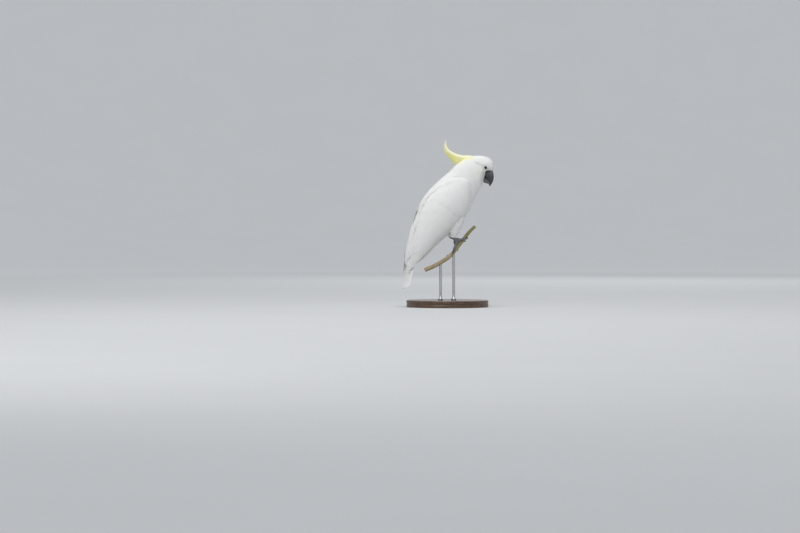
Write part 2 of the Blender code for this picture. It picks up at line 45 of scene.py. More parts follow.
# ------------------------------------------------------------------ the solids' own tables
BODY = [
    ((157.0, 408.5), (156.2, 402.0), 5.5, 0.00), ((153.8, 420.0), (152.6, 391.5), 14.0, 0.00),
    ((144.0, 430.0), (140.0, 380.0), 20.5, 0.08), ((128.0, 435.0), (129.0, 363.0), 26.0, 0.12),
    ((104.0, 436.0), (123.0, 350.0), 30.5, 0.12), ((76.0, 431.0), (115.0, 337.0), 33.5, 0.10),
    ((50.0, 413.0), (107.0, 324.0), 36.5, 0.05), ((28.0, 388.0), (99.0, 307.0), 41.0, 0.00),
    ((2.0, 366.0), (91.0, 287.0), 45.0, 0.00), ((-28.0, 337.0), (78.0, 264.0), 48.0, 0.00),
    ((-52.0, 306.0), (59.0, 241.0), 48.0, 0.00), ((-66.0, 270.0), (35.0, 218.0), 45.0, 0.00),
    ((-81.5, 232.0), (9.0, 196.0), 40.0, 0.00), ((-92.5, 195.0), (-18.0, 171.0), 37.5, 0.00),
    ((-100.0, 163.0), (-42.0, 147.0), 32.5, 0.00), ((-103.0, 139.0), (-62.0, 131.0), 26.0, 0.00),
    ((-100.5, 122.0), (-82.0, 118.0), 10.0, 0.00),
]
MANTLE = [
    ((51.0, 414.5), (108.0, 323.0), 40.0, 0.0), ((28.0, 390.0), (101.0, 306.0), 46.0, 0.0),
    ((0.0, 369.0), (93.0, 285.0), 53.0, 0.0), ((-31.0, 341.0), (80.0, 262.0), 57.5, 0.0),
    ((-56.0, 310.0), (60.0, 238.0), 59.5, 0.0), ((-72.0, 273.0), (36.0, 214.0), 58.0, 0.0),
    ((-81.0, 232.0), (10.0, 191.0), 53.0, 0.0), ((-90.5, 195.0), (-17.0, 164.0), 45.5, 0.0),
    ((-99.0, 163.0), (-40.0, 139.0), 38.0, 0.0), ((-105.5, 133.0), (-58.0, 116.0), 31.0, 0.0),
    ((-110.0, 104.0), (-78.0, 92.0), 25.0, 0.0), ((-112.0, 88.0), (-90.0, 80.0), 21.0, 0.0),
]
WING = [
    ((73.0, 361.0), (75.0, 346.0), 8.0), ((60.0, 369.0), (78.5, 325.0), 13.0), ((32.0, 370.0), (76.0, 296.0), 16.0),
    ((1.0, 358.0), (65.0, 269.0), 17.0), ((-30.0, 333.0), (41.0, 243.0), 17.0), ((-53.0, 301.0), (14.0, 218.0), 16.0),
    ((-68.0, 266.0), (-11.0, 194.0), 14.0), ((-78.0, 228.0), (-35.0, 170.5), 11.0), ((-86.5, 193.0), (-57.0, 146.0), 8.0),
    ((-95.5, 158.0), (-77.0, 122.0), 5.5), ((-102.5, 126.0), (-92.0, 105.0), 3.6), ((-106.0, 104.0), (-101.5, 97.0), 2.4),
]
WING_EDGE = 0.36
WING_FLESH = 7.08  # station where the fleshed wing ends
TAIL_RIDGE = [(-70.0, 188.0), (-80.5, 160.0), (-91.0, 126.0), (-101.5, 90.0), (-110.5, 52.0)]
TAIL_HALF = [13.0, 21.0, 27.0, 31.0, 33.0]
TAIL_DROP = [4.0, 8.0, 11.5, 13.0, 13.5]
TAIL_THICK = [5.0, 4.6, 4.0, 3.2, 2.0]
TAIL_ROUNDING = 9.0
CREST = [
    ((112.0, 431.0), (104.0, 424.0), 7.0), ((90.0, 437.0), (80.0, 424.0), 10.5), ((66.0, 438.5), (58.0, 416.0), 11.5),
    ((47.0, 444.0), (41.0, 416.5), 10.5), ((34.0, 450.5), (28.0, 430.0), 8.5), ((25.0, 458.5), (17.0, 443.0), 6.6),
    ((20.5, 468.0), (12.0, 458.0), 4.6), ((18.5, 477.0), (13.5, 473.0), 2.6), ((18.0, 482.0), (16.4, 482.0), 1.1),
]
UPPER_BILL = [
    ((138.0, 404.0), (121.0, 399.0), 10.4), ((151.5, 398.5), (124.5, 389.0), 12.4), ((156.4, 389.0), (129.0, 377.5), 12.0),
    ((158.4, 378.5), (134.6, 369.0), 10.4), ((157.8, 368.0), (141.0, 363.0), 8.4), ((154.8, 359.0), (144.0, 357.6), 5.7),
    ((150.4, 352.0), (144.6, 352.8), 3.4), ((147.0, 347.6), (145.2, 348.4), 1.4),
]
LOWER_BILL = [
    ((113.0, 379.0), (117.0, 366.0), 9.0), ((124.0, 376.5), (125.0, 361.0), 10.6), ((132.0, 373.5), (132.0, 357.8), 10.4),
    ((138.5, 369.0), (138.5, 355.6), 9.0), ((142.5, 364.5), (143.0, 354.8), 7.0), ((144.6, 361.0), (145.4, 356.2), 4.6),
]
EYE_CENTRE, EYE_OUT, EYE_RADIUS = (128.5, 401.0), 20.9, 6.0
THIGH = [
    ((50.0, 266.0), 14.0, 11.0, 25.0), ((48.0, 256.0), 19.0, 15.0, 25.0), ((44.0, 240.0), 18.5, 15.5, 25.0),
    ((40.0, 224.0), 15.0, 13.5, 24.0), ((37.0, 211.0), 11.0, 10.5, 23.5), ((35.6, 203.0), 7.6, 7.4, 23.5),
    ((35.0, 199.5), 5.4, 5.4, 23.5),
]
PERCH = [
    (-53.0, 108.0, -45.0), (-24.0, 119.5, -40.0), (10.0, 138.0, -34.0), (28.0, 152.0, -31.0), (40.0, 166.0, -28.8),
    (54.0, 183.0, -26.5), (68.0, 200.0, -24.2), (83.0, 217.5, -21.5), (99.0, 232.0, -18.0),
]
PERCH_RADIUS = [6.3, 5.9, 5.7, 5.5, 5.4, 5.4, 5.2, 4.8, 4.4]
SHOOT = [(36.0, 161.6, -29.8), (43.0, 171.0, -16.0), (51.0, 180.0, 2.0), (57.0, 185.5, 23.0), (61.0, 189.0, 42.0), (64.0, 193.0, 57.0)]
SHOOT_RADIUS = [3.6, 4.8, 5.0, 5.0, 4.8, 4.2]
BASE_RADIUS, BASE_HEIGHT, BASE_BEVEL = 118.0, 20.0, 3.0
ROD_RADIUS, COLLAR_HEIGHT = 4.0, 6.0
RODS = {"stand_rod_rear": (-6.0, -37.0, 132.0), "stand_rod_front": (34.0, -29.8, 158.0)}
ANKLE, SHANK_RADIUS, TOE_RADIUS, TOE_REST = (35.2, 201.5), 3.9, 3.3, 0.15
CLAW_LENGTH = 12.5
RIGHT_TOES = [
    ("inner_front", (-14.0, -116.0), (1.6, 12.0), 84.0), ("outer_front", (12.0, 124.0), (2.2, 21.0), 88.0),
    ("inner_rear", (-16.0, -112.0), (-2.0, -15.0), 72.0), ("outer_rear", (9.0, 62.0), (-2.4, -32.0), 48.0),
]
LEFT_TOES = [
    ("inner_front", (18.0, 122.0), (-1.6, -9.0), 80.0), ("outer_front", (15.0, 116.0), (2.0, 12.5), 76.0),
    ("inner_rear", (-15.0, -84.0), (-1.4, -8.5), 66.0), ("outer_rear", (-18.0, -92.0), (1.6, 8.0), 66.0),
]


# ------------------------------------------------------------------ sums on arrays
def column(table, k):
    return np.array([row[k] for row in table], float)


def spl(values, t):
    """Catmull-Rom through a list of numbers or rows, at an array t counted in list positions."""
    v = np.asarray(values, float)
    flat = v.ndim == 1
    if flat:
        v = v[:, None]
    t = np.asarray(t, float)
    last = len(v) - 1
    i = np.clip(np.floor(t).astype(int), 0, last - 1)
    f = (t - i)[..., None]
    a, b, c, d = (v[np.clip(i + k, 0, last)] for k in (-1, 0, 1, 2))
    out = 0.5 * (2 * b + (c - a) * f + (2 * a - 5 * b + 4 * c - d) * f * f + (3 * b - a - 3 * c + d) * f ** 3)
    return out[..., 0] if flat else out


def place(forward, height, side):
    forward, height, side = np.broadcast_arrays(forward, height, side)
    return np.stack([side, BASE_CENTRE - forward, height], axis=-1) * MM


def side_view(points):
    """(forward, height, side) in millimetres of points in metres."""
    return BASE_CENTRE - points[..., 1] / MM, points[..., 2] / MM, points[..., 0] / MM


def unit(v):
    return v / np.maximum(np.linalg.norm(v, axis=-1, keepdims=True), 1e-12)


def smooth(low, high, x):
    t = np.clip((np.asarray(x, float) - low) / (high - low), 0, 1)
    return t * t * (3 - 2 * t)


def shell(table, u, angle):
    """A point of a surface of stations, in metres; angle 0 is the back line and pi the belly line."""
    back, front = spl(column(table, 0), u), spl(column(table, 1), u)
    half, drop = spl(column(table, 2), u), spl(column(table, 3), u)
    c, s = np.cos(angle), np.sin(angle)
    f = 0.5 * (1 - c)
    side = half * np.sign(s) * np.abs(s) ** 0.88 * (1 - drop * c)
    return place(back[..., 0] + (front[..., 0] - back[..., 0]) * f, back[..., 1] + (front[..., 1] - back[..., 1]) * f, side)


def wobble(points, scale, seed=0.0):
    """Smooth noise between -1 and 1 at points in metres, with lumps of the given size in millimetres."""
    k = 1.0 / (scale * MM)
    return np.array([noise.noise(Vector((p[0] * k + seed, p[1] * k - seed, p[2] * k + 2 * seed))) for p in points.reshape(-1, 3).tolist()]).reshape(points.shape[:-1])


# ------------------------------------------------------------------ meshes
def make(name, points, groups, maps=None, colours=None, smooth_faces=True):
    """A mesh object from points and arrays of faces. maps are {name: one (u, v) for each corner}."""
    mesh = bpy.data.meshes.new(name)
    corners = np.concatenate([g.ravel() for g in groups]).astype(np.int32)
    sizes = np.concatenate([np.full(len(g), g.shape[1]) for g in groups])
    starts = np.concatenate([[0], np.cumsum(sizes)[:-1]]).astype(np.int32)
    mesh.vertices.add(len(points))
    mesh.vertices.foreach_set("co", np.ascontiguousarray(points, np.float32).ravel())
    mesh.loops.add(len(corners))
    mesh.loops.foreach_set("vertex_index", corners)
    mesh.polygons.add(len(sizes))
    mesh.polygons.foreach_set("loop_start", starts)
    mesh.update(calc_edges=True)
    mesh.polygons.foreach_set("use_smooth", np.full(len(sizes), smooth_faces))
    for label, uv in (maps or {}).items():
        layer = mesh.uv_layers.new(name=label)
        layer.data.foreach_set("uv", np.ascontiguousarray(uv, np.float32).ravel())
    if colours is not None:
        layer = mesh.color_attributes.new(name="coat", type="FLOAT_COLOR", domain="POINT")
        layer.data.foreach_set("color", np.ascontiguousarray(colours, np.float32).ravel())
    obj = bpy.data.objects.new(name, mesh)
    bpy.context.scene.collection.objects.link(obj)
    return obj


def arrays_of(obj):
    """Points and triangles of an object's evaluated mesh."""
    bpy.context.view_layer.update()
    mesh = bpy.data.meshes.new_from_object(obj.evaluated_get(bpy.context.evaluated_depsgraph_get()))
    points = np.empty(len(mesh.vertices) * 3)
    mesh.vertices.foreach_get("co", points)
    mesh.calc_loop_triangles()
    faces = np.empty(len(mesh.loop_triangles) * 3, np.int32)
    mesh.loop_triangles.foreach_get("vertices", faces)
    bpy.data.meshes.remove(mesh)
    return points.reshape(-1, 3), faces.reshape(-1, 3)


def drop_object(obj):
    mesh = obj.data
    bpy.data.objects.remove(obj, do_unlink=True)
    bpy.data.meshes.remove(mesh)


def outwards(points, groups):
    """The same faces, turned so that the closed mesh holds a positive volume."""
    total = 0.0
    for g in groups:
        for k in range(1, g.shape[1] - 1):
            total += np.einsum("ij,ij->i", points[g[:, 0]], np.cross(points[g[:, k]], points[g[:, k + 1]])).sum()
    return groups if total > 0 else [g[:, ::-1] for g in groups]


def lathe(grid, caps=(0.0, 0.0)):
    """A closed mesh through rings of a (rings, around, 3) grid, with a fan at each end pushed out by caps in millimetres."""
    rings, around = grid.shape[:2]
    index = np.arange(rings * around).reshape(rings, around)
    nxt = np.roll(index, -1, axis=1)
    quads = np.stack([index[:-1], nxt[:-1], nxt[1:], index[1:]], axis=-1).reshape(-1, 4)
    ends, fans = [], []
    for end, inner, out in ((0, 1, caps[0]), (rings - 1, rings - 2, caps[1])):
        centre = grid[end].mean(0)
        centre = centre + unit(centre - grid[inner].mean(0)) * out * MM
        hub = rings * around + len(ends)
        ends.append(centre)
        fan = np.stack([index[end], nxt[end], np.full(around, hub)], axis=-1)
        fans.append(fan[:, ::-1] if end == 0 else fan)
    points = np.concatenate([grid.reshape(-1, 3), np.array(ends)])
    groups = [quads, np.concatenate(fans)]
    # the quads run one way round; the fans are turned to match them
    return points, outwards(points, groups)


def slab(face, back):
    """A closed mesh between two grids of points of the same shape."""
    rows, cols = face.shape[:2]
    index = np.arange(rows * cols).reshape(rows, cols)
    under = index + rows * cols
    quads = [np.stack([index[:-1, :-1], index[:-1, 1:], index[1:, 1:], index[1:, :-1]], -1).reshape(-1, 4)]
    quads.append(np.stack([under[:-1, :-1], under[1:, :-1], under[1:, 1:], under[:-1, 1:]], -1).reshape(-1, 4))
    rim = np.concatenate([index[0, :], index[1:, -1], index[-1, -2::-1], index[-2:0:-1, 0]])
    after = np.roll(rim, -1)
    quads.append(np.stack([after, rim, rim + rows * cols, after + rows * cols], -1))
    points = np.concatenate([face.reshape(-1, 3), back.reshape(-1, 3)])
    return points, outwards(points, quads)


def joined(bodies):
    points, groups, start = [], [], 0
    for p, gs in bodies:
        points.append(p)
        groups += [g + start for g in gs]
        start += len(p)
    return np.concatenate(points), groups


def remeshed(bodies, voxel, turns, factor=0.5):
    """Points and triangles of one closed mesh round several closed ones, voxel in millimetres, smoothed."""
    points, groups = joined(bodies)
    obj = make("remesh_helper", points, groups)
    step = obj.modifiers.new("voxels", "REMESH")
    step.mode = "VOXEL"
    step.voxel_size = voxel * MM
    if turns:
        step = obj.modifiers.new("soft", "SMOOTH")
        step.factor = factor
        step.iterations = turns
    out = arrays_of(obj)
    drop_object(obj)
    return out


def main_shell(points, faces):
    """The largest connected part of a mesh, without the small voids left inside it."""
    label = np.arange(len(points))
    while True:
        low = label[faces].min(1)
        new = label.copy()
        for k in range(3):
            np.minimum.at(new, faces[:, k], low)
        new = new[new]
        if (new == label).all():
            break
        label = new
    part = label[faces[:, 0]]
    faces = faces[part == np.bincount(part).argmax()]
    used = np.zeros(len(points), bool)
    used[faces] = True
    return points[used], (np.cumsum(used) - 1)[faces]


def point_normals(points, faces):
    a, b, c = (points[faces[:, k]] for k in range(3))
    n = np.cross(b - a, c - a)
    out = np.zeros_like(points)
    for k in range(3):
        np.add.at(out, faces[:, k], n)
    return unit(out)


class Surface:
    """A mesh that feathers are laid along."""

    def __init__(self, points, faces, relax=4):
        self.points, self.faces = points, faces
        self.tree = BVHTree.FromPolygons(points.tolist(), faces.tolist())
        normals = point_normals(points, faces)
        for _ in range(relax):
            total = normals.copy()
            for k in range(3):
                np.add.at(total, faces[:, k], normals[faces[:, (k + 1) % 3]] + normals[faces[:, (k + 2) % 3]])
            normals = unit(total)
        self.normals = normals

    def project(self, q):
        """The nearest points on the surface and the smooth normals there."""
        flat = q.reshape(-1, 3)
        spots, where = [], []
        near = self.tree.find_nearest
        for p in flat.tolist():
            hit = near(p)
            spots.append(hit[0][:])
            where.append(hit[2])
        spots = np.array(spots)
        tri = self.faces[np.array(where)]
        a, b, c = (self.points[tri[:, k]] for k in range(3))
        v0, v1, v2 = b - a, c - a, spots - a
        d00, d01, d11 = (v0 * v0).sum(1), (v0 * v1).sum(1), (v1 * v1).sum(1)
        d20, d21 = (v2 * v0).sum(1), (v2 * v1).sum(1)
        den = np.maximum(d00 * d11 - d01 * d01, 1e-30)
        v = np.clip((d11 * d20 - d01 * d21) / den, 0, 1)
        w = np.clip((d00 * d21 - d01 * d20) / den, 0, 1)
        na, nb, nc = (self.normals[tri[:, k]] for k in range(3))
        n = unit(na * (1 - v - w)[:, None] + nb * v[:, None] + nc * w[:, None])
        return spots.reshape(q.shape), n.reshape(q.shape)

    def scatter(self, rng, count, weigh=None):
        """Random points on it, evenly spread, or by a weight of the triangles' middles."""
        a, b, c = (self.points[self.faces[:, k]] for k in range(3))
        area = np.linalg.norm(np.cross(b - a, c - a), axis=1)
        if weigh is not None:
            area = area * weigh((a + b + c) / 3)
        pick = rng.choice(len(area), count, p=area / area.sum())
        r1, r2 = np.sqrt(rng.random(count))[:, None], rng.random(count)[:, None]
        return a[pick] * (1 - r1) + b[pick] * r1 * (1 - r2) + c[pick] * r1 * r2


def spaced(points, gap, taken=()):
    """Indexes of points kept so that none is nearer to another than the smaller of their gaps, in metres."""
    cell = float(gap.max())
    boxes = {}
    for x, y, z, g in taken:
        boxes.setdefault((int(x // cell), int(y // cell), int(z // cell)), []).append((x, y, z, g))
    kept = []
    for i, (p, g) in enumerate(zip(points.tolist(), gap.tolist())):
        x, y, z = p
        cx, cy, cz = int(x // cell), int(y // cell), int(z // cell)
        near = False
        for ix in (cx - 1, cx, cx + 1):
            for iy in (cy - 1, cy, cy + 1):
                for iz in (cz - 1, cz, cz + 1):
                    for qx, qy, qz, qg in boxes.get((ix, iy, iz), ()):
                        m = g if g < qg else qg
                        if (x - qx) ** 2 + (y - qy) ** 2 + (z - qz) ** 2 < m * m:
                            near = True
                            break
                    if near:
                        break
                if near:
                    break
            if near:
                break
        if not near:
            boxes.setdefault((cx, cy, cz), []).append((x, y, z, g))
            kept.append(i)
    return np.array(kept, int)


# ------------------------------------------------------------------ surfaces of the body, thighs, wings and tail
def body_grid(start, stop, rings, around):
    u = np.linspace(start, stop, rings)[:, None] + np.zeros((1, around))
    a = np.zeros((rings, 1)) + math.tau * np.arange(around)[None, :] / around
    return u, a, shell(BODY, u, a)


def thigh_grid(side, rings, around):
    t = np.linspace(0, len(THIGH) - 1, rings)[:, None]
    centre, deep, wide, away = (spl(column(THIGH, k), t) for k in range(4))
    a = math.tau * np.arange(around)[None, :] / around
    return place(centre[..., 0] + deep * np.cos(a), centre[..., 1] + 0 * a, side * (away + wide * np.sin(a)))


def on_mantle(point):
    """(station, angle) on the outer wing surface of a side-view point."""
    back, front = column(MANTLE, 0), column(MANTLE, 1)

    def side_of(u):
        b, f = spl(back, u), spl(front, u)
        return (f[0] - b[0]) * (point[1] - b[1]) - (f[1] - b[1]) * (point[0] - b[0])

    low, high = -0.5, len(MANTLE) - 1.0
    start = side_of(low)
    for _ in range(50):
        middle = 0.5 * (low + high)
        if side_of(middle) * start > 0:
            low = middle
        else:
            high = middle
    b, f = spl(back, low), spl(front, low)
    part = np.dot(np.array(point) - b, f - b) / np.dot(f - b, f - b)
    return low, math.acos(max(-0.999, min(0.999, 1 - 2 * part)))


WING_TOP = np.array([on_mantle(upper) for upper, _, _ in WING])
WING_LOW = np.array([on_mantle(lower) for _, lower, _ in WING])
WING_DEPTH = column(WING, 2)
WING_CHORD = np.array([math.dist(upper, lower) for upper, lower, _ in WING])


def wing_place(s, t):
    """Outer surface of the left wing, its outward direction and its depth; s runs to the tip and t from upper to lower edge."""
    s, t = np.broadcast_arrays(np.asarray(s, float), np.asarray(t, float))
    ends = spl(WING_TOP, s), spl(WING_LOW, s)
    ua = ends[0] + (ends[1] - ends[0]) * t[..., None]
    u, a = ua[..., 0], ua[..., 1]
    p = shell(MANTLE, u, a)
    n = unit(np.cross(shell(MANTLE, u + 0.02, a) - shell(MANTLE, u - 0.02, a), shell(MANTLE, u, a + 0.02) - shell(MANTLE, u, a - 0.02)))
    n = np.where(n[..., :1] < 0, -n, n)
    depth = spl(WING_DEPTH, s)
    swell = np.sin(math.pi * np.clip(t, 0, 1))
    lift = 0.5 * depth * (1 - WING_EDGE) * (1 - np.sqrt(swell)) * 0.35
    # towards their tips the two wings stand a little apart
    apart = smooth(5.0, 8.4, s) * (1 - 0.5 * np.clip(t, 0, 1))
    out = 3.5 * np.exp(-(((s - 7.9) / 1.7) ** 2)) * (1 - np.clip(t, 0, 1))
    p = p + (apart[..., None] * np.array([4.0, 1.6, 0.0]) + out[..., None] * np.array([0.0, 1.0, 0.0])) * MM
    return p - n * lift[..., None] * MM, n, depth


def wing_slab(start, stop, rings, across, sink=0.0):
    s, t = np.meshgrid(np.linspace(start, stop, rings), np.linspace(0, 1, across), indexing="ij")
    outer, n, depth = wing_place(s, t)
    full = depth * (WING_EDGE + (1 - WING_EDGE) * np.sin(math.pi * t))
    return slab(outer - n * sink * MM, outer - n * ((sink + full) * MM)[..., None])


def tail_place(t, w):
    """Upper face of the tail; t runs along the ridge to the tip and w across from -1 to 1. Also the way down through it and its depth."""
    t, w = np.broadcast_arrays(np.asarray(t, float), np.asarray(w, float))
    ridge, step = spl(TAIL_RIDGE, t), spl(TAIL_RIDGE, np.minimum(t + 0.01, 4.0)) - spl(TAIL_RIDGE, np.minimum(t + 0.01, 4.0) - 0.01)
    along = unit(step)
    front = np.stack([-along[..., 1], along[..., 0]], -1)
    front = np.where(front[..., :1] < 0, -front, front)
    q = ridge + front * (spl(TAIL_DROP, t) * w * w)[..., None] - along * (TAIL_ROUNDING * (t / 4.0) ** 3 * w * w)[..., None]
    p = place(q[..., 0], q[..., 1], spl(TAIL_HALF, t) * w)
    down = place(q[..., 0] + front[..., 0], q[..., 1] + front[..., 1], spl(TAIL_HALF, t) * w) - p
    return p, unit(down), spl(TAIL_THICK, t)


def tail_slab(stop, rings, across):
    t, w = np.meshgrid(np.linspace(0, stop, rings), np.linspace(-1, 1, across), indexing="ij")
    top, down, thick = tail_place(t, w)
    return slab(top, top + down * (thick * (1 - 0.55 * w * w) * MM)[..., None])


def mirror(body):
    points, groups = body
    return points * np.array([-1.0, 1.0, 1.0]), [g[:, ::-1] for g in groups]


VOXEL = 1.5


def pinched(points):
    """The head narrows to the width of the bill where its feathers end, and keeps its width at the eyes."""
    f, z, x = side_view(points)
    line = np.interp(z, [345.0, 362.0, 377.0, 391.0], [122.0, 124.5, 128.0, 132.5])
    past = np.minimum(392.0 - z, f - line)
    allowed = 10.2 - 0.5 * np.maximum(past, 0) + 1.5 * np.maximum(-past, 0)
    allowed = allowed + 16.0 * smooth(10.8, 7.8, np.hypot(f - EYE_CENTRE[0], z - EYE_CENTRE[1]))
    width = np.maximum(-1.2 * np.logaddexp(-np.abs(x) / 1.2, -allowed / 1.2), 0)
    out = points.copy()
    out[..., 0] = np.where(np.abs(x) > 1.5, np.sign(x) * width * MM, out[..., 0])
    return out


def bill_side(points):
    """Millimetres past the edge of the feathers, on the bill's side of it."""
    f, z, x = side_view(points)
    return np.minimum(392.0 - z, f - np.interp(z, [345.0, 353.0, 362.0, 377.0, 391.0], [131.0, 128.5, 124.5, 128.0, 132.5]))


body_mesh = lathe(pinched(body_grid(0.0, 16.0, 150, 120)[2]), (1.0, 2.0))
thigh_meshes = [lathe(thigh_grid(side, 40, 44), (3.0, 0.0)) for side in (-1, 1)]
wing_mesh = wing_slab(0.0, WING_FLESH, 90, 40)
tail_mesh = tail_slab(3.2, 40, 30)

under = Surface(*remeshed([body_mesh, *thigh_meshes, tail_mesh], VOXEL, 8), relax=6)
over = Surface(*remeshed([body_mesh, *thigh_meshes, tail_mesh, wing_mesh, mirror(wing_mesh)], VOXEL, 14), relax=8)
wing_left_skin = Surface(*remeshed([wing_slab(0.0, 8.6, 100, 44)], 1.3, 8), relax=6)

# ---- finding a point's station and angle on the body, and the lie of the feathers there ----
GU, GA, GP = body_grid(0.0, 16.0, 260, 150)
GP = pinched(GP)
GRID_U, GRID_A, GRID_P = GU.ravel(), GA.ravel(), GP.reshape(-1, 3)
GRID_FLOW = unit(np.gradient(GP, axis=0)).reshape(-1, 3)
body_tree = KDTree(len(GRID_P))
for i, p in enumerate(GRID_P.tolist()):
    body_tree.insert(p, i)
body_tree.balance()
thigh_points = np.concatenate([thigh_grid(side, 50, 50).reshape(-1, 3) for side in (-1, 1)])
thigh_tree = KDTree(len(thigh_points))
for i, p in enumerate(thigh_points.tolist()):
    thigh_tree.insert(p, i)
thigh_tree.balance()
WS, WT = np.meshgrid(np.linspace(0, 11, 240), np.linspace(0, 1, 60), indexing="ij")
WING_P = wing_place(WS, WT)[0].reshape(-1, 3)
wing_tree = KDTree(len(WING_P))
for i, p in enumerate(WING_P.tolist()):
    wing_tree.insert(p, i)
wing_tree.balance()


def body_lie(points):
    """Station, angle and feather direction on the body of points near it."""
    found = [body_tree.find(p)[1] for p in points.reshape(-1, 3).tolist()]
    shape = points.shape[:-1]
    return GRID_U[found].reshape(shape), GRID_A[found].reshape(shape), GRID_FLOW[found].reshape(points.shape)


def thigh_share(points):
    """1 on the thighs and 0 on the rest of the body."""
    out = [body_tree.find(p)[2] - thigh_tree.find(p)[2] for p in points.reshape(-1, 3).tolist()]
    return smooth(-1.0, 1.5, np.array(out).reshape(points.shape[:-1]) / MM)


def wing_lie(points):
    """(s, t, distance in mm) on either folded wing of points near it."""
    folded = points.reshape(-1, 3) * np.array([1.0, 1.0, 1.0])
    folded[:, 0] = np.abs(folded[:, 0])
    hits = [wing_tree.find(p) for p in folded.tolist()]
    index = np.array([h[1] for h in hits])
    shape = points.shape[:-1]
    return WS.ravel()[index].reshape(shape), WT.ravel()[index].reshape(shape), np.array([h[2] for h in hits]).reshape(shape) / MM


def eye_distance(points):
    f, z, x = side_view(points)
    return np.hypot(f - EYE_CENTRE[0], z - EYE_CENTRE[1]) + 40 * (np.abs(x) < 12)


# ------------------------------------------------------------------ markings and painted shade, the same on skin and coat
def brow_line(f, z):
    """Millimetres above the groove that runs from behind the eye up the side of the crown, and the part of its length."""
    a, b = np.array([97.0, 418.5]), np.array([119.5, 407.0])
    d = (b - a) / np.linalg.norm(b - a)
    return (f - a[0]) * -d[1] + (z - a[1]) * d[0], ((f - a[0]) * d[0] + (z - a[1]) * d[1]) / np.linalg.norm(b - a)


def markings_and_painted_shade(points):
    """(yellow, grey) amounts at points in metres; the yellow is the plumage's own colour and the grey is painted shade.
    """
    f, z, x = side_view(points)
    band = np.exp(-(((z - 428.0) / 4.6) ** 2)) * smooth(107, 84, f) * smooth(16, 30, f) * smooth(3, 7, np.abs(x))
    crown = smooth(94, 62, f) * smooth(426, 431, z) * smooth(16, 9, np.abs(x))
    nape = np.exp(-(((f - 54) / 13.0) ** 2 + ((z - 417) / 8.0) ** 2))
    ear = np.exp(-(((f - 104) / 15.0) ** 2 + ((z - 388) / 16.0) ** 2)) * smooth(12, 20, np.abs(x))
    cheek = np.exp(-(((f - 124) / 12.0) ** 2 + ((z - 376) / 12.0) ** 2)) * smooth(8, 16, np.abs(x))
    yellow = np.clip(0.62 * band + 0.42 * crown + 0.42 * nape + 0.10 * ear + 0.07 * cheek, 0, 0.8)
    above, along = brow_line(f, z)
    # painted shade: a soft grey ring where the feathers meet the bare eye ring
    grey = 0.22 * np.exp(-((eye_distance(points) - 8.5) / 2.5) ** 2)
    # painted shadow along the brow groove, from behind the eye up the side of the crown
    grey = grey + 0.9 * np.exp(-((above + 0.3) / 2.8) ** 2) * smooth(-0.15, 0.2, along) * smooth(1.12, 0.9, along) * smooth(6, 12, np.abs(x))
    s, t, gap = wing_lie(points)
    # painted shadow under the folded wing's lower edge
    shadow_under_wing = smooth(6.0, 1.0, gap) * (t > 0.93) * smooth(3.1, 4.0, s) * smooth(8.6, 7.4, s)
    # painted shadow on the rump beside the upper edge of the folded wing
    shadow_beside_wing = np.exp(-(((t - 0.08) / 0.06) ** 2)) * smooth(16.0, 9.0, gap) * smooth(6.4, 7.2, s) * smooth(9.8, 9.0, s)
    grey = grey + 0.7 * shadow_under_wing + 0.8 * shadow_beside_wing
    # painted shade along a fold on the side of the neck
    grey = grey + 0.45 * np.exp(-(((f - 38) / 4.5) ** 2 + ((z - 377 - 0.25 * (f - 38)) / 1.8) ** 2)) * smooth(10, 20, np.abs(x))
    # painted shadow line along the wing's leading edge
    front = 80.5 + 0.05 * (360 - z)
    grey = grey + 0.45 * np.exp(-(((f - front) / 1.5) ** 2)) * smooth(296, 306, z) * smooth(364, 354, z) * smooth(15, 25, np.abs(x))
    grey = np.clip(grey, 0, 0.8)
    return yellow, grey


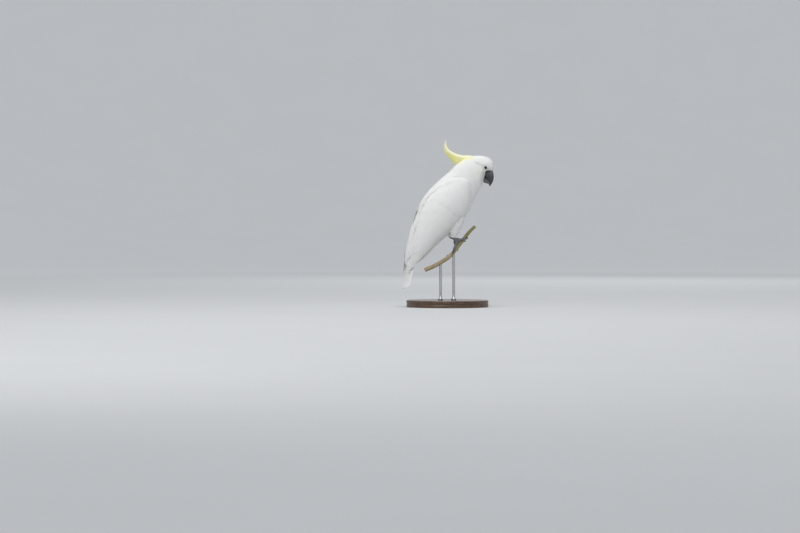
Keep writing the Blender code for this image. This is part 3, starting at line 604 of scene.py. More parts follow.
# ------------------------------------------------------------------ feathers
class Coat:
    """Gathers vanes and builds them as one mesh. Each vane is a closed thin body over a grid of rows and columns."""

    def __init__(self):
        self.parts = []

    def add(self, grid, back, rootmap, patch, vane, colour):
        """grid (n, rows, cols, 3); back (n, rows, 3 or cols, 3) under it or None for straight across; rootmap (n, 2), patch (n, 2, 2) the
        directions of the map's patch along and across; vane (n, rows, cols, 2); colour (n, rows, cols, 3)."""
        self.parts.append((grid, back, rootmap, patch, vane, colour))

    def count(self):
        total = 0
        for grid, back, *_ in self.parts:
            n, r, c, _ = grid.shape
            total += n * (((r - 1) * (c - 1) * 4 + 4 * (r + c - 2)) if back is not None else ((r - 1) * (c - 1) * 2 + 2 * (r - 1) + 2 * (c - 2)))
        return total

    def build(self, name):
        points, colours, groups, uvs, vanes, hard = [], [], [], [], [], []
        start = 0
        for grid, back, rootmap, patch, vane, colour in self.parts:
            n, R, C, _ = grid.shape
            local = np.arange(R * C).reshape(R, C)
            own = np.stack([local[:-1, :-1], local[1:, :-1], local[1:, 1:], local[:-1, 1:]], -1).reshape(-1, 4)
            shift = np.zeros((R * C, 2))
            a = (np.arange(R) / (R - 1))[:, None] + np.zeros((1, C))
            b = np.zeros((R, 1)) + (np.arange(C) / (C - 1) - 0.5)[None, :]
            flat = np.stack([a.ravel(), b.ravel()], -1)
            if back is None:
                per = R * C
                pts, col, van = grid.reshape(n, -1, 3), colour.reshape(n, -1, 3), vane.reshape(n, -1, 2)
                low = np.stack([local[:-1, 0], local[:-1, -1], local[1:, -1], local[1:, 0]], -1)
                local_groups = [(own, flat[own]), (low, flat[low])]
                for row, out in ((0, -0.08), (R - 1, 0.08)):
                    ring = local[row] if row == 0 else local[row][::-1]
                    bulge = flat[ring].copy()
                    bulge[1:-1, 0] += out
                    local_groups.append((ring[None, :], bulge[None]))
            else:
                per = 2 * R * C
                pts = np.concatenate([grid.reshape(n, -1, 3), back.reshape(n, -1, 3)], 1)
                col, van = np.tile(colour.reshape(n, -1, 3), (1, 2, 1)), np.tile(vane.reshape(n, -1, 2), (1, 2, 1))
                flat = np.concatenate([flat, flat])
                low = own[:, ::-1] + R * C
                rim = np.concatenate([local[:, 0], local[-1, 1:], local[-2::-1, -1], local[0, -2:0:-1]])
                after = np.roll(rim, -1)
                wall = np.stack([after, rim, rim + R * C, after + R * C], -1)
                inward = flat[wall].copy()
                centre = np.array([0.5, 0.0])
                inward[:, 2:] += (centre - inward[:, 2:]) * 0.12
                local_groups = [(own, flat[own]), (low, flat[low]), (wall, inward)]
            offset = start + per * np.arange(n)
            for faces, spots in local_groups:
                groups.append((faces[None] + offset[:, None, None]).reshape(-1, faces.shape[1]))
                uv = rootmap[:, None, None, :] + spots[None, ..., :1] * patch[:, 0][:, None, None, :] + spots[None, ..., 1:] * patch[:, 1][:, None, None, :]
                uvs.append(uv.reshape(-1, 2))
                vanes.append(van[:, faces.ravel()].reshape(-1, 2))
            points.append(pts.reshape(-1, 3))
            colours.append(col.reshape(-1, 3))
            hard.append((start, per, n, R, C))
            start += per * n
        points, colours = np.concatenate(points), np.concatenate(colours)
        colours = np.concatenate([colours, np.ones((len(colours), 1))], 1)
        obj = make(name, points, groups, {"OFBake": np.concatenate(uvs), "vane": np.concatenate(vanes)}, colours)
        mesh = obj.data
        edges = np.empty(len(mesh.edges) * 2, np.int32)
        mesh.edges.foreach_get("vertices", edges)
        edges = edges.reshape(-1, 2)
        sharp = np.zeros(len(edges), bool)
        for begin, per, n, R, C in hard:
            inside = (edges[:, 0] >= begin) & (edges[:, 0] < begin + per * n)
            e = (edges[inside] - begin) % per
            sheet = e // (R * C)
            e = e % (R * C)
            r, c = e // C, e % C
            rim = (c[:, 0] == c[:, 1]) & ((c[:, 0] == 0) | (c[:, 0] == C - 1)) & (np.abs(r[:, 0] - r[:, 1]) == 1)
            rim |= (r[:, 0] == r[:, 1]) & ((r[:, 0] == 0) | (r[:, 0] == R - 1)) & (np.abs(c[:, 0] - c[:, 1]) == 1)
            rim |= (sheet[:, 0] != sheet[:, 1])
            sharp[inside] = rim
        layer = mesh.attributes.new("sharp_edge", "BOOLEAN", "EDGE")
        layer.data.foreach_set("value", sharp)
        return obj


def outline(us, root=0.35, full=0.55, tip=0.12, blunt=0.5):
    """Half-width of a vane along its length, 1 at its fullest: a narrow root, then a rounded end."""
    us = np.asarray(us, float)
    rise = root + (1 - root) * np.sin(0.5 * math.pi * np.clip(us / full, 0, 1))
    fall = np.clip(1 - ((us - full) / (1 - full)) ** 2, 0, 1) ** blunt
    return np.where(us < full, rise, np.maximum(fall, tip))


ROWS = {
    "small": (np.array([0, 0.30, 0.55, 0.76, 0.90, 1.0]), 5),
    "middle": (np.array([0, 0.20, 0.40, 0.58, 0.74, 0.86, 0.95, 1.0]), 5),
    "large": (np.array([0, 0.16, 0.32, 0.48, 0.62, 0.74, 0.84, 0.92, 0.975, 1.0]), 7),
}


def turned(v, axis, angle):
    """v turned about unit axis by angle, for arrays."""
    c, s = np.cos(angle)[..., None], np.sin(angle)[..., None]
    return v * c + np.cross(axis, v) * s + axis * ((axis * v).sum(-1, keepdims=True)) * (1 - c)


def trace(surface, roots, length, us, flow, turn):
    """Centre lines over a surface, from roots along a flow, for feathers of given length in metres."""
    p, n = surface.project(roots)
    path = [p]
    for k in range(1, len(us)):
        d = flow(p)
        d = unit(d - n * (d * n).sum(-1, keepdims=True))
        d = turned(d, n, turn * (1 - 0.5 * us[k]))
        p, n = surface.project(p + d * (length * (us[k] - us[k - 1]))[:, None])
        path.append(p)
    return np.stack(path, axis=1)


def lay(coat, surface, path, us, cols, width, depth, rng, place_map, colour, power=2.4, camber=0.10, level=0.0, tip_lift=0.0,
        slope=0.045, ragged=0.06, droop=0.0, shape=None, patch=0.003, spin=None, keep=None, backing=None, tilt=0.0):
    """Vanes along centre lines. width, depth, level and tip_lift are arrays in metres. Returns a mask of the vanes
    kept.
    """
    n, R, _ = path.shape
    tangent = unit(np.gradient(path, axis=1))
    pos, nor = surface.project(path)
    across = unit(np.cross(nor, tangent))
    v = np.linspace(-1, 1, cols)
    form = (outline(us) if shape is None else shape)[None, :]
    half = 0.5 * width[:, None] * form
    rough = 1 + ragged * rng.uniform(-1, 1, (n, R, 2))
    reach = np.where(v[None, None, :] < 0, rough[..., :1], rough[..., 1:]) * v
    span = half[..., None] * reach
    q = path[:, :, None, :] + across[:, :, None, :] * span[..., None]
    push = rng.uniform(-1, 1, (n, cols)) * ragged * 0.9
    push = push[:, None, :] * (us[None, :, None] ** 4) * form[..., None] * np.linalg.norm(path[:, -1] - path[:, 0], axis=-1)[:, None, None]
    q = q + tangent[:, :, None, :] * push[..., None]
    pos, nor = surface.project(q)
    u = us[None, :, None]
    run = slope * np.linalg.norm(np.diff(path, axis=1), axis=-1).sum(1)[:, None, None]
    h = -run * (1 - u) - np.maximum(depth[:, None, None] - run, 0) * (1 - u) ** power
    h = h + (level[:, None, None] if np.ndim(level) else level)
    h = h + camber * half[..., None] * (1 - v ** 2)
    h = h - droop * (np.abs(v) ** 3) * half[..., None]
    h = h - tilt * 0.5 * (1 - v)
    h = h + (tip_lift[:, None, None] if np.ndim(tip_lift) else tip_lift) * u ** 4
    grid = pos + nor * h[..., None]
    length = np.linalg.norm(np.diff(path, axis=1), axis=-1).sum(1)
    rows_gap = np.linalg.norm(np.diff(grid, axis=1), axis=-1).max((1, 2))
    cols_gap = np.linalg.norm(np.diff(grid, axis=2), axis=-1).max((1, 2))
    good = (rows_gap < 2.6 * length * np.diff(us).max()) & (cols_gap < 3.2 * width / (cols - 1))
    if keep is not None:
        good &= keep
    along_mm = np.concatenate([np.zeros((n, 1)), np.cumsum(np.linalg.norm(np.diff(path, axis=1), axis=-1), axis=1)], 1) / MM
    vane = np.stack([span / MM / 10, np.broadcast_to(along_mm[..., None] / 10, span.shape)], -1)
    root = place_map(path[:, 0])
    turn = np.zeros(n) if spin is None else spin
    size = np.full(n, patch)
    patches = np.stack([np.stack([-np.sin(turn) * size, np.cos(turn) * size], -1), np.stack([np.cos(turn) * size, np.sin(turn) * size], -1)], 1)
    tint = colour(path, grid)
    under_grid = None
    if backing is not None:
        under_grid = (grid - nor * backing)[good]
    coat.add(grid[good], under_grid, root[good], patches[good], vane[good], tint[good])
    return good


def body_map(points):
    u, a, _ = body_lie(points)
    return np.stack([0.02 + 0.95 * a / math.tau, 0.02 + 0.95 * u / 16.0], -1)


def body_tint(rng):
    def tint(path, grid):
        n, R, C, _ = grid.shape
        # yellow markings and painted shade
        yellow, grey = markings_and_painted_shade(path)
        shade = rng.uniform(0, 1, n)[:, None, None] + np.zeros((n, R, C))
        return np.stack([shade, np.broadcast_to(yellow[..., None], (n, R, C)), np.broadcast_to(grey[..., None], (n, R, C))], -1)
    return tint


# ------------------------------------------------------------------ materials
class Paint:
    """A material of nodes. Inputs may be numbers, colours or sockets."""

    def __init__(self, name, **constant):
        self.mat = bpy.data.materials.new(name)
        self.mat.use_nodes = True
        self.tree = self.mat.node_tree
        self.shader = self.tree.nodes["Principled BSDF"]
        for socket, value in constant.items():
            self.shader.inputs[socket.replace("_", " ")].default_value = value

    def node(self, kind, inputs=(), **settings):
        made = self.tree.nodes.new("ShaderNode" + kind)
        for key, value in settings.items():
            setattr(made, key, value)
        for key, value in dict(inputs).items():
            self.put(made.inputs[key], value)
        return made

    def put(self, socket, value):
        if isinstance(value, bpy.types.NodeSocket):
            self.tree.links.new(value, socket)
        elif isinstance(value, tuple) and len(value) == 3 and socket.type == "RGBA":
            socket.default_value = (*value, 1.0)
        else:
            socket.default_value = value

    def math(self, operation, a, b=0.0, c=0.0, clamp=False):
        return self.node("Math", {0: a, 1: b, 2: c}, operation=operation, use_clamp=clamp).outputs[0]

    def mix(self, a, b, factor, blend="MIX"):
        return self.node("Mix", {0: factor, 6: a, 7: b}, data_type="RGBA", blend_type=blend).outputs[2]

    def span(self, x, low, high, out_low=0.0, out_high=1.0):
        return self.node("MapRange", {0: x, 1: low, 2: high, 3: out_low, 4: out_high}, clamp=True).outputs[0]

    def noise(self, vector, scale, detail=3.0, rough=0.5, warp=0.0):
        return self.node("TexNoise", {"Vector": vector, "Scale": scale, "Detail": detail, "Roughness": rough, "Distortion": warp}).outputs[0]

    def cells(self, vector, scale, feature="F1", jitter=1.0):
        made = self.node("TexVoronoi", {"Vector": vector, "Scale": scale}, feature=feature)
        made.inputs["Randomness"].default_value = jitter
        return made.outputs["Distance"]

    def here(self):
        return self.node("TexCoord").outputs["Object"]

    def stretched(self, vector, x, y, z):
        return self.node("Mapping", {"Vector": vector, "Scale": (x, y, z)}).outputs[0]

    def uv(self, name):
        return self.node("UVMap", uv_map=name).outputs[0]

    def split(self, vector):
        return self.node("SeparateXYZ", {0: vector}).outputs

    def coat(self):
        """The three amounts kept on the mesh's points."""
        return self.node("SeparateColor", {0: self.node("Attribute", attribute_name="coat").outputs["Color"]}).outputs

    def bump(self, height, distance, strength=1.0, below=None):
        inputs = {"Height": height, "Distance": distance, "Strength": strength}
        if below is not None:
            inputs["Normal"] = below
        return self.node("Bump", inputs).outputs[0]

    def finish(self, colour=None, roughness=None, normal=None):
        if colour is not None:
            self.put(self.shader.inputs["Base Color"], colour)
        if roughness is not None:
            self.put(self.shader.inputs["Roughness"], roughness)
        if normal is not None:
            self.put(self.shader.inputs["Normal"], normal)
        return self.mat


# the last grey is mixed in as painted shade and for the barb lines
WHITE, SHADE, SHADE_AND_BARB_GREY = (0.87, 0.87, 0.85), (0.79, 0.80, 0.80), (0.60, 0.605, 0.60)
LEMON, DEEP = (0.88, 0.83, 0.29), (0.80, 0.70, 0.10)


def plumage(name, white=WHITE, barb=0.55, relief=0.00012, dim=0.12):
    p = Paint(name, Roughness=0.72, Sheen_Weight=0.12, Sheen_Roughness=0.5, Specular_IOR_Level=0.28)
    shade, yellow, grey = p.coat()[:3]
    x, y, _ = p.split(p.uv("vane"))[:3]
    here = p.here()
    drift = p.noise(here, 60.0, 3.0)
    fine = p.noise(here, 420.0, 3.0)
    side = p.math("ABSOLUTE", x)
    warp = p.math("MULTIPLY", p.math("SUBTRACT", fine, 0.5), 0.22)
    phase = p.math("ADD", p.math("MULTIPLY", p.math("SUBTRACT", y, p.math("MULTIPLY", side, 0.85)), math.tau * 10.0 / barb), p.math("MULTIPLY", warp, math.tau * 10.0))
    barbs = p.math("MULTIPLY_ADD", p.math("SINE", phase), 0.5, 0.5)
    spine = p.span(side, 0.012, 0.045, 1.0, 0.0)
    colour = p.mix(white, SHADE, p.math("MULTIPLY", p.span(drift, 0.35, 0.75), 0.35))
    colour = p.mix(colour, SHADE, p.math("MULTIPLY", shade, 0.30))
    colour = p.mix(colour, LEMON, yellow)
    # painted shade: on body feathers and lesser coverts the grey amount holds the painted shadows of the markings;
    # elsewhere it is a plain grey tone, stronger at the tips of flight and tail feathers
    colour = p.mix(colour, SHADE_AND_BARB_GREY, grey)
    colour = p.mix(colour, SHADE_AND_BARB_GREY, p.math("MULTIPLY", p.math("MULTIPLY", barbs, p.span(fine, 0.3, 0.7)), dim))
    height = p.math("ADD", p.math("MULTIPLY", barbs, 0.6), p.math("MULTIPLY", spine, 1.1))
    rough = p.span(fine, 0.3, 0.7, 0.62, 0.82)
    return p.finish(colour, rough, p.bump(height, relief, 0.55))


def skin_paint():
    p = Paint("pale_skin", Roughness=0.7, Specular_IOR_Level=0.3)
    mouth, yellow, grey = p.coat()[:3]
    here = p.here()
    spots = p.cells(here, 900.0)
    colour = p.mix((0.80, 0.79, 0.76), (0.66, 0.63, 0.60), p.span(p.noise(here, 90.0), 0.4, 0.8, 0.0, 0.6))
    colour = p.mix(colour, LEMON, yellow)
    # painted shade: the grey amount holds the painted shadows of the markings
    colour = p.mix(colour, SHADE_AND_BARB_GREY, grey)
    colour = p.mix(colour, (0.06, 0.055, 0.058), p.span(mouth, 0.1, 0.45))
    return p.finish(colour, p.span(p.noise(here, 500.0), 0.3, 0.7, 0.6, 0.8), p.bump(spots, 0.0002, 0.5))


# ------------------------------------------------------------------ skin
def body_depth(points):
    """How deep the coat is, in millimetres, at points of the body."""
    u, a, _ = body_lie(points)
    depth = spl([1.0, 1.1, 1.3, 1.5, 1.7, 2.0, 2.4, 2.7, 2.9, 3.0, 3.0, 3.0, 2.9, 2.8, 2.6, 2.4, 2.0], u)
    share = thigh_share(points)
    depth = depth * (1 - share) + 2.4 * share
    depth = depth * (1 - 0.45 * smooth(1.0, 0.2, u))
    return np.minimum(depth, 1.1 + 0.14 * np.maximum(eye_distance(points) - 7.0, 0))


base = Surface(*remeshed([body_mesh, *thigh_meshes, wing_mesh, mirror(wing_mesh)], VOXEL, 6), relax=6)
wing_near = wing_lie(base.points)
deep = body_depth(base.points)
deep = np.where((wing_near[2] < 1.2), np.minimum(deep, 2.2), deep)
room = np.full(len(base.points), 60.0)
for i, (p, n) in enumerate(zip(base.points, base.normals)):
    hit = base.tree.ray_cast(Vector(p - n * 0.0003), Vector(-n))
    if hit[0] is not None:
        room[i] = hit[3] / MM
shrunk = base.points - base.normals * (np.minimum(deep, 0.36 * room) * MM)[:, None]
skin_points, skin_faces = main_shell(*remeshed([(shrunk, [base.faces])], 1.2, 5))
skin_surface = Surface(skin_points, skin_faces, relax=2)
fine_skin = wobble(skin_points, 5.0) * 0.10 + wobble(skin_points, 1.8, 7.0) * 0.05
skin_points = skin_points + skin_surface.normals * (fine_skin * MM)[:, None]
# the skin carries the same yellow markings and painted shade
yellow, grey = markings_and_painted_shade(skin_points)
mouth = smooth(-0.5, 1.0, bill_side(skin_points)) * smooth(345.0, 351.0, side_view(skin_points)[1])
skin = make("skin", skin_points, [skin_faces], None, np.stack([0.5 * mouth, yellow, grey, np.ones(len(yellow))], -1))
skin.data.materials.append(skin_paint())
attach(skin, "root")
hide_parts("head", "neck", "trunk", "thigh_left", "thigh_right", "wing_left", "wing_right")


# ------------------------------------------------------------------ bill (its shape is needed to keep feathers off it)
def blade_grid(table, samples, around, power, start=0.0):
    last = len(table) - 1
    t = np.linspace(start, last, samples)[:, None]
    front, back, half = spl(column(table, 0), t), spl(column(table, 1), t), spl(column(table, 2), t)
    a = math.tau * np.arange(around)[None, :] / around
    c = np.sign(np.cos(a)) * np.abs(np.cos(a)) ** power
    f = 0.5 * (1 - c)
    return place(front[..., 0] + (back[..., 0] - front[..., 0]) * f, front[..., 1] + (back[..., 1] - front[..., 1]) * f, half * np.sin(a)), t + 0 * a, a + 0 * t


upper_grid, upper_t, upper_a = blade_grid(UPPER_BILL, 110, 96, 0.95)
lower_grid, lower_t, lower_a = blade_grid(LOWER_BILL, 70, 80, 0.9)
upper_body, lower_body = lathe(upper_grid, (0.0, 0.4)), lathe(lower_grid, (0.0, 0.4))


def triangles(groups):
    out = []
    for g in groups:
        for k in range(1, g.shape[1] - 1):
            out.append(g[:, [0, k, k + 1]])
    return np.concatenate(out)


bill_surfaces = [Surface(b[0], triangles(b[1]), relax=1) for b in (upper_body, lower_body)]


def bill_clearance(points):
    """Distance outside the bill, in millimetres; below 0 inside it."""
    out = np.full(points.shape[:-1], 99.0)
    for surface in bill_surfaces:
        spot, normal = surface.project(points)
        gap = points - spot
        side = np.sign((gap * normal).sum(-1))
        out = np.minimum(out, np.linalg.norm(gap, axis=-1) * side / MM)
    return out


# ------------------------------------------------------------------ contour feathers of head, neck, trunk and thighs
THIGH_LIE = unit(np.array([0.0, 0.19, -0.98]))


def body_flow(points):
    _, _, d = body_lie(points)
    share = thigh_share(points)[..., None]
    d = d * (1 - share) + THIGH_LIE * share
    f, z, x = side_view(points)
    away = np.stack([0 * f, -(f - EYE_CENTRE[0]), z - EYE_CENTRE[1]], -1)
    near = np.exp(-np.maximum(eye_distance(points) - 8.0, 0) / 2.5)[..., None]
    d = unit(d + 0.9 * near * unit(away))
    # round the bill the feathers lie away from it
    off = unit(np.stack([x, -(f - 151.0), z - 391.0], -1))
    close = smooth(24, 9, np.sqrt((f - 151.0) ** 2 + (z - 391.0) ** 2 + (0.8 * x) ** 2))[..., None]
    # no parting where the rows of the body meet at the front
    calm = smooth(1.0, 5.5, np.sqrt((f - 157.0) ** 2 + (z - 405.0) ** 2 + x ** 2))[..., None]
    return unit(d * (1 - 0.85 * close) * calm + off * np.maximum(close, 1 - calm))


LENGTHS = [3.3, 4.2, 5.6, 7.2, 9.0, 11.5, 14.5, 17.0, 19.0, 21.5, 23.5, 24.5, 26.0, 28.0, 30.0, 31.0, 28.0]


def feather_length(points):
    u, a, _ = body_lie(points)
    length = spl(LENGTHS, u)
    fold = np.minimum(a, math.tau - a)
    length = length * (1 + 0.18 * smooth(0.8, 0.2, fold) * smooth(2, 3.5, u) * smooth(6.5, 5.5, u))
    share = thigh_share(points)
    length = length * (1 - share) + 17.0 * share
    length = np.minimum(length, 3.2 + 0.34 * np.maximum(eye_distance(points) - 8.0, 0))
    return length


def seed_body(rng):
    found, taken = [], []

    def closeness(points):
        return 1.0 / feather_length(points) ** 2

    for count, low, high in ((60000, 0.0, 6.0), (60000, 6.0, 13.0), (60000, 13.0, 99.0)):
        p = under.scatter(rng, count * 2, closeness)
        u, a, _ = body_lie(p)
        length = feather_length(p)
        ok = (length >= low) & (length < high) & (u < 15.6)
        p, u, a, length = p[ok], u[ok], a[ok], length[ok]
        away = np.array([body_tree.find(q)[2] for q in p.tolist()]) / MM
        ok = (away < 3.0) | (thigh_share(p) > 0.4)
        ok &= eye_distance(p) > 7.9
        s, t, d = wing_lie(p)
        ok &= ~((t > 0.05 + 0.20 * smooth(5.4, 6.4, s)) & (t < 0.95) & (s > 0.12) & (s < 10.9) & (d < 20.0))
        p, u, a, length = p[ok], u[ok], a[ok], length[ok]
        head = u < 4
        clear = np.full(len(p), 99.0)
        if head.any():
            clear[head] = bill_clearance(p[head])
        ok = (clear > 0.2) & ((bill_side(p) < 1.0) | ~head)
        p, u, a, length, clear = p[ok], u[ok], a[ok], length[ok], clear[ok]
        length = np.minimum(length, 2.8 + 0.5 * clear)
        kept = spaced(p, length * 0.27 * MM, taken)
        found.append((p[kept], u[kept], a[kept], length[kept]))
        taken += [(*q, g) for q, g in zip(p[kept].tolist(), (length[kept] * 0.27 * MM).tolist())]
    p, u, a, length = [np.concatenate([f[k] for f in found]) for k in range(4)]
    # even out the spacing
    gap = length * 0.27 * MM * 1.22
    free = (eye_distance(p) > 10.5) & ((u > 4) | (bill_clearance(p) > 3.0))
    wing = wing_lie(p)
    free &= ~((wing[1] > -0.04) & (wing[1] < 1.04) & (wing[0] > 0.0) & (wing[2] < 22.0))
    for _ in range(5):
        tree = KDTree(len(p))
        for i, q in enumerate(p.tolist()):
            tree.insert(q, i)
        tree.balance()
        near = np.array([[f[1] for f in tree.find_n(q, 7)][1:] for q in p.tolist()])
        away = p[:, None, :] - p[near]
        far = np.linalg.norm(away, axis=-1)
        want = 0.5 * (gap[:, None] + gap[near])
        push = (away / (far[..., None] + 1e-9) * np.clip(want - far, 0, None)[..., None]).sum(1) * 0.35
        size = np.linalg.norm(push, axis=-1, keepdims=True)
        push = push * np.minimum(1, 0.3 * gap[:, None] / (size + 1e-9))
        moved = under.project(p + push)[0]
        p = np.where(free[:, None], moved, p)
    u, a, _ = body_lie(p)
    return p, u, a, length


def brow_height(points):
    """How far the feathers over the groove stand up and those in it lie back, in metres."""
    f, z, x = side_view(points)
    above, along = brow_line(f, z)
    part = smooth(-0.3, 0.15, along) * smooth(1.2, 0.85, along) * smooth(8, 14, np.abs(x))
    return (0.26 * np.exp(-(((above - 3.0) / 3.0) ** 2)) - 0.20 * np.exp(-(((above + 0.9) / 1.6) ** 2))) * part * MM


coat_white = plumage("white_contour_plumage")
rng = np.random.default_rng(11)
roots, root_u, root_a, root_len = seed_body(rng)
fold_a = np.minimum(root_a, math.tau - root_a)
share = thigh_share(roots)
near_wing = wing_lie(roots)
upper = ((root_u > 4.6) & (root_u <= 8) & (fold_a < 1.45)) | ((root_u > 8) & (fold_a < 1.0))
# those in front of a wing's leading edge run on over it
climbing = upper | ((near_wing[2] < 15.0) & (near_wing[0] < 2.4) & (share < 0.3))
pieces = {"head_feathers": (root_u < 5.2) & (share < 0.5), "neck_feathers": (root_u >= 5.2) & (root_u < 8.2) & (share < 0.5),
          "trunk_feathers": (root_u >= 8.2) & (share < 0.5), "thigh_feathers": share >= 0.5}
report = {}
for label, mine in pieces.items():
    coat = Coat()
    for kind, low, high in (("small", 0, 6.0), ("middle", 6.0, 13.0), ("large", 13.0, 99)):
        us, cols = ROWS[kind]
        for surface, choose in ((under, ~climbing), (over, climbing)):
            pick = np.where(mine & choose & (root_len >= low) & (root_len < high))[0]
            if not len(pick):
                continue
            r = roots[pick]
            loose = label == "thigh_feathers"
            length = root_len[pick] * rng.uniform(0.9, 1.12, len(pick)) * MM
            turn = np.radians(rng.normal(0, 7 if loose else 5, len(pick)))
            path = trace(surface, r, length, us, body_flow, turn)
            wide = {"small": 0.82, "middle": 0.78, "large": 0.79}[kind] * length * rng.uniform(0.9, 1.1, len(pick))
            depth = body_depth(r) * MM
            level = rng.normal(0, 0.0045, len(pick)) * length
            if surface is over:
                level = level + 0.35 * MM * ~upper[pick]
                full = 1.8 * MM * smooth(1.2, 0.5, fold_a[pick]) * smooth(4.8, 6.2, root_u[pick]) * smooth(11.5, 9.5, root_u[pick])
                level, depth = level + full, depth + full
            if label == "head_feathers":
                level = level + brow_height(path[:, -2])
            lift = (0.014 if loose else 0.003) * length * np.abs(rng.normal(0, 1, len(pick)))
            lay(coat, surface, path, us, cols, wide, depth, rng, body_map, body_tint(rng), level=level, tip_lift=lift, power=4.5, slope=0.040,
                ragged=0.12 if loose else (0.08 if kind == "large" else 0.06), droop=0.02, camber=0.03)
    obj = coat.build(label)
    obj.data.materials.append(coat_white)
    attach(obj, "root")
    report[label] = coat.count()
print("coat", report, "roots", len(roots))


# ------------------------------------------------------------------ long feathers of wings and tail
def sheet(grid, facing):
    """An open surface through a grid of points, whose normals run with the given directions."""
    rows, cols = grid.shape[:2]
    index = np.arange(rows * cols).reshape(rows, cols)
    a, b, c, d = index[:-1, :-1].ravel(), index[1:, :-1].ravel(), index[1:, 1:].ravel(), index[:-1, 1:].ravel()
    faces = np.concatenate([np.stack([a, b, c], 1), np.stack([a, c, d], 1)])
    points = grid.reshape(-1, 3)
    if (point_normals(points, faces) * facing.reshape(-1, 3)).sum() < 0:
        faces = faces[:, ::-1]
    return Surface(points, faces, relax=1)


def long_vane(coat, surface, edge, inward, width, us, cols, rng, rootmap, patch, depth, tilt, level, tint, tip=0.10, blunt=0.5, full=0.90,
              spine=0.34, ridge=0.32, thick=0.24, root_wide=0.5, power=3.0, notches=3):
    """One long feather whose free edge runs along edge (rows, 3); inward points from that edge across the vane, width is a row array in metres."""
    R = len(us)
    v = np.linspace(-1, 1, cols)
    tangent = unit(np.gradient(edge, axis=0))
    _, nor = surface.project(edge)
    inward = unit(inward - nor * (inward * nor).sum(-1, keepdims=True))
    inward = unit(inward - tangent * (inward * tangent).sum(-1, keepdims=True))
    form = np.where(us < full, root_wide + (1 - root_wide) * np.sin(0.5 * math.pi * np.clip(us / 0.3, 0, 1)), np.maximum(np.clip(1 - ((us - full) / (1 - full)) ** 2, 0, 1) ** blunt, tip))
    half = 0.5 * width
    centre = edge + inward * half[:, None]
    rough = 1 + 0.012 * rng.uniform(-1, 1, (R, 2))
    for _ in range(notches):
        at, side = rng.integers(int(R * 0.45), R - 3), rng.integers(0, 2)
        rough[at, side] *= rng.uniform(0.86, 0.94)
    scale = np.where(v[None, :] < 0, rough[:, :1], rough[:, 1:]) * v[None, :]
    across = -scale * (half * form)[:, None]
    q = centre[:, None, :] + inward[:, None, :] * across[..., None]
    length = np.linalg.norm(np.diff(edge, axis=0), axis=-1).sum()
    barb = (us[:, None] ** 3) * length * 0.010 * rng.uniform(-1, 1, cols)[None, :] - 0.0
    q = q + tangent[:, None, :] * barb[..., None]
    pos, nor = surface.project(q)
    u = us[:, None]
    h = -depth * (1 - u) ** power + level - tilt * 0.5 * (1 - v[None, :])
    centre_line = spine + (0.0 - spine) * smooth(0.8, 1.0, us)[:, None]
    h = h + ridge * MM * np.exp(-(((v[None, :] - centre_line) * (half * form)[:, None] / MM) / 0.75) ** 2) * (1 - 0.6 * u)
    h = h + 0.03 * (half * form)[:, None] * (1 - v[None, :] ** 2)
    grid = pos + nor * h[..., None]
    lower = grid - nor * (thick * MM * (0.35 + 0.65 * (1 - np.abs(v[None, :]) ** 3))[..., None])
    along = np.concatenate([[0], np.cumsum(np.linalg.norm(np.diff(edge, axis=0), axis=-1))]) / MM
    vane = np.stack([-(across / MM - spine * 0) / 10 - (centre_line * (half * form)[:, None]) / MM / 10, np.broadcast_to(along[:, None] / 10, across.shape)], -1)
    coat.add(grid[None], lower[None], rootmap[None], patch[None], vane[None], np.broadcast_to(tint, (1, R, cols, 3)).copy() if np.ndim(tint) == 1 else tint[None])
    return grid


flight_white = plumage("white_flight_plumage", (0.865, 0.865, 0.85), barb=0.62, relief=0.00010, dim=0.10)

SS, TT = np.meshgrid(np.linspace(1.0, 11.3, 150), np.linspace(-0.6, 1.15, 60), indexing="ij")
wing_sheet_points, wing_sheet_normals, _ = wing_place(SS, TT)
wing_sheet = sheet(wing_sheet_points, wing_sheet_normals)

TERTIAL_TIPS, SECONDARY_TIPS = [7.7, 8.1, 8.35, 8.5], [8.45, 8.3, 8.1, 7.9, 7.7, 7.5, 7.3]
PRIMARY_TIPS = [8.8, 9.25, 9.7, 10.1, 10.45, 10.75, 11.0, 11.2, 11.1, 10.5]


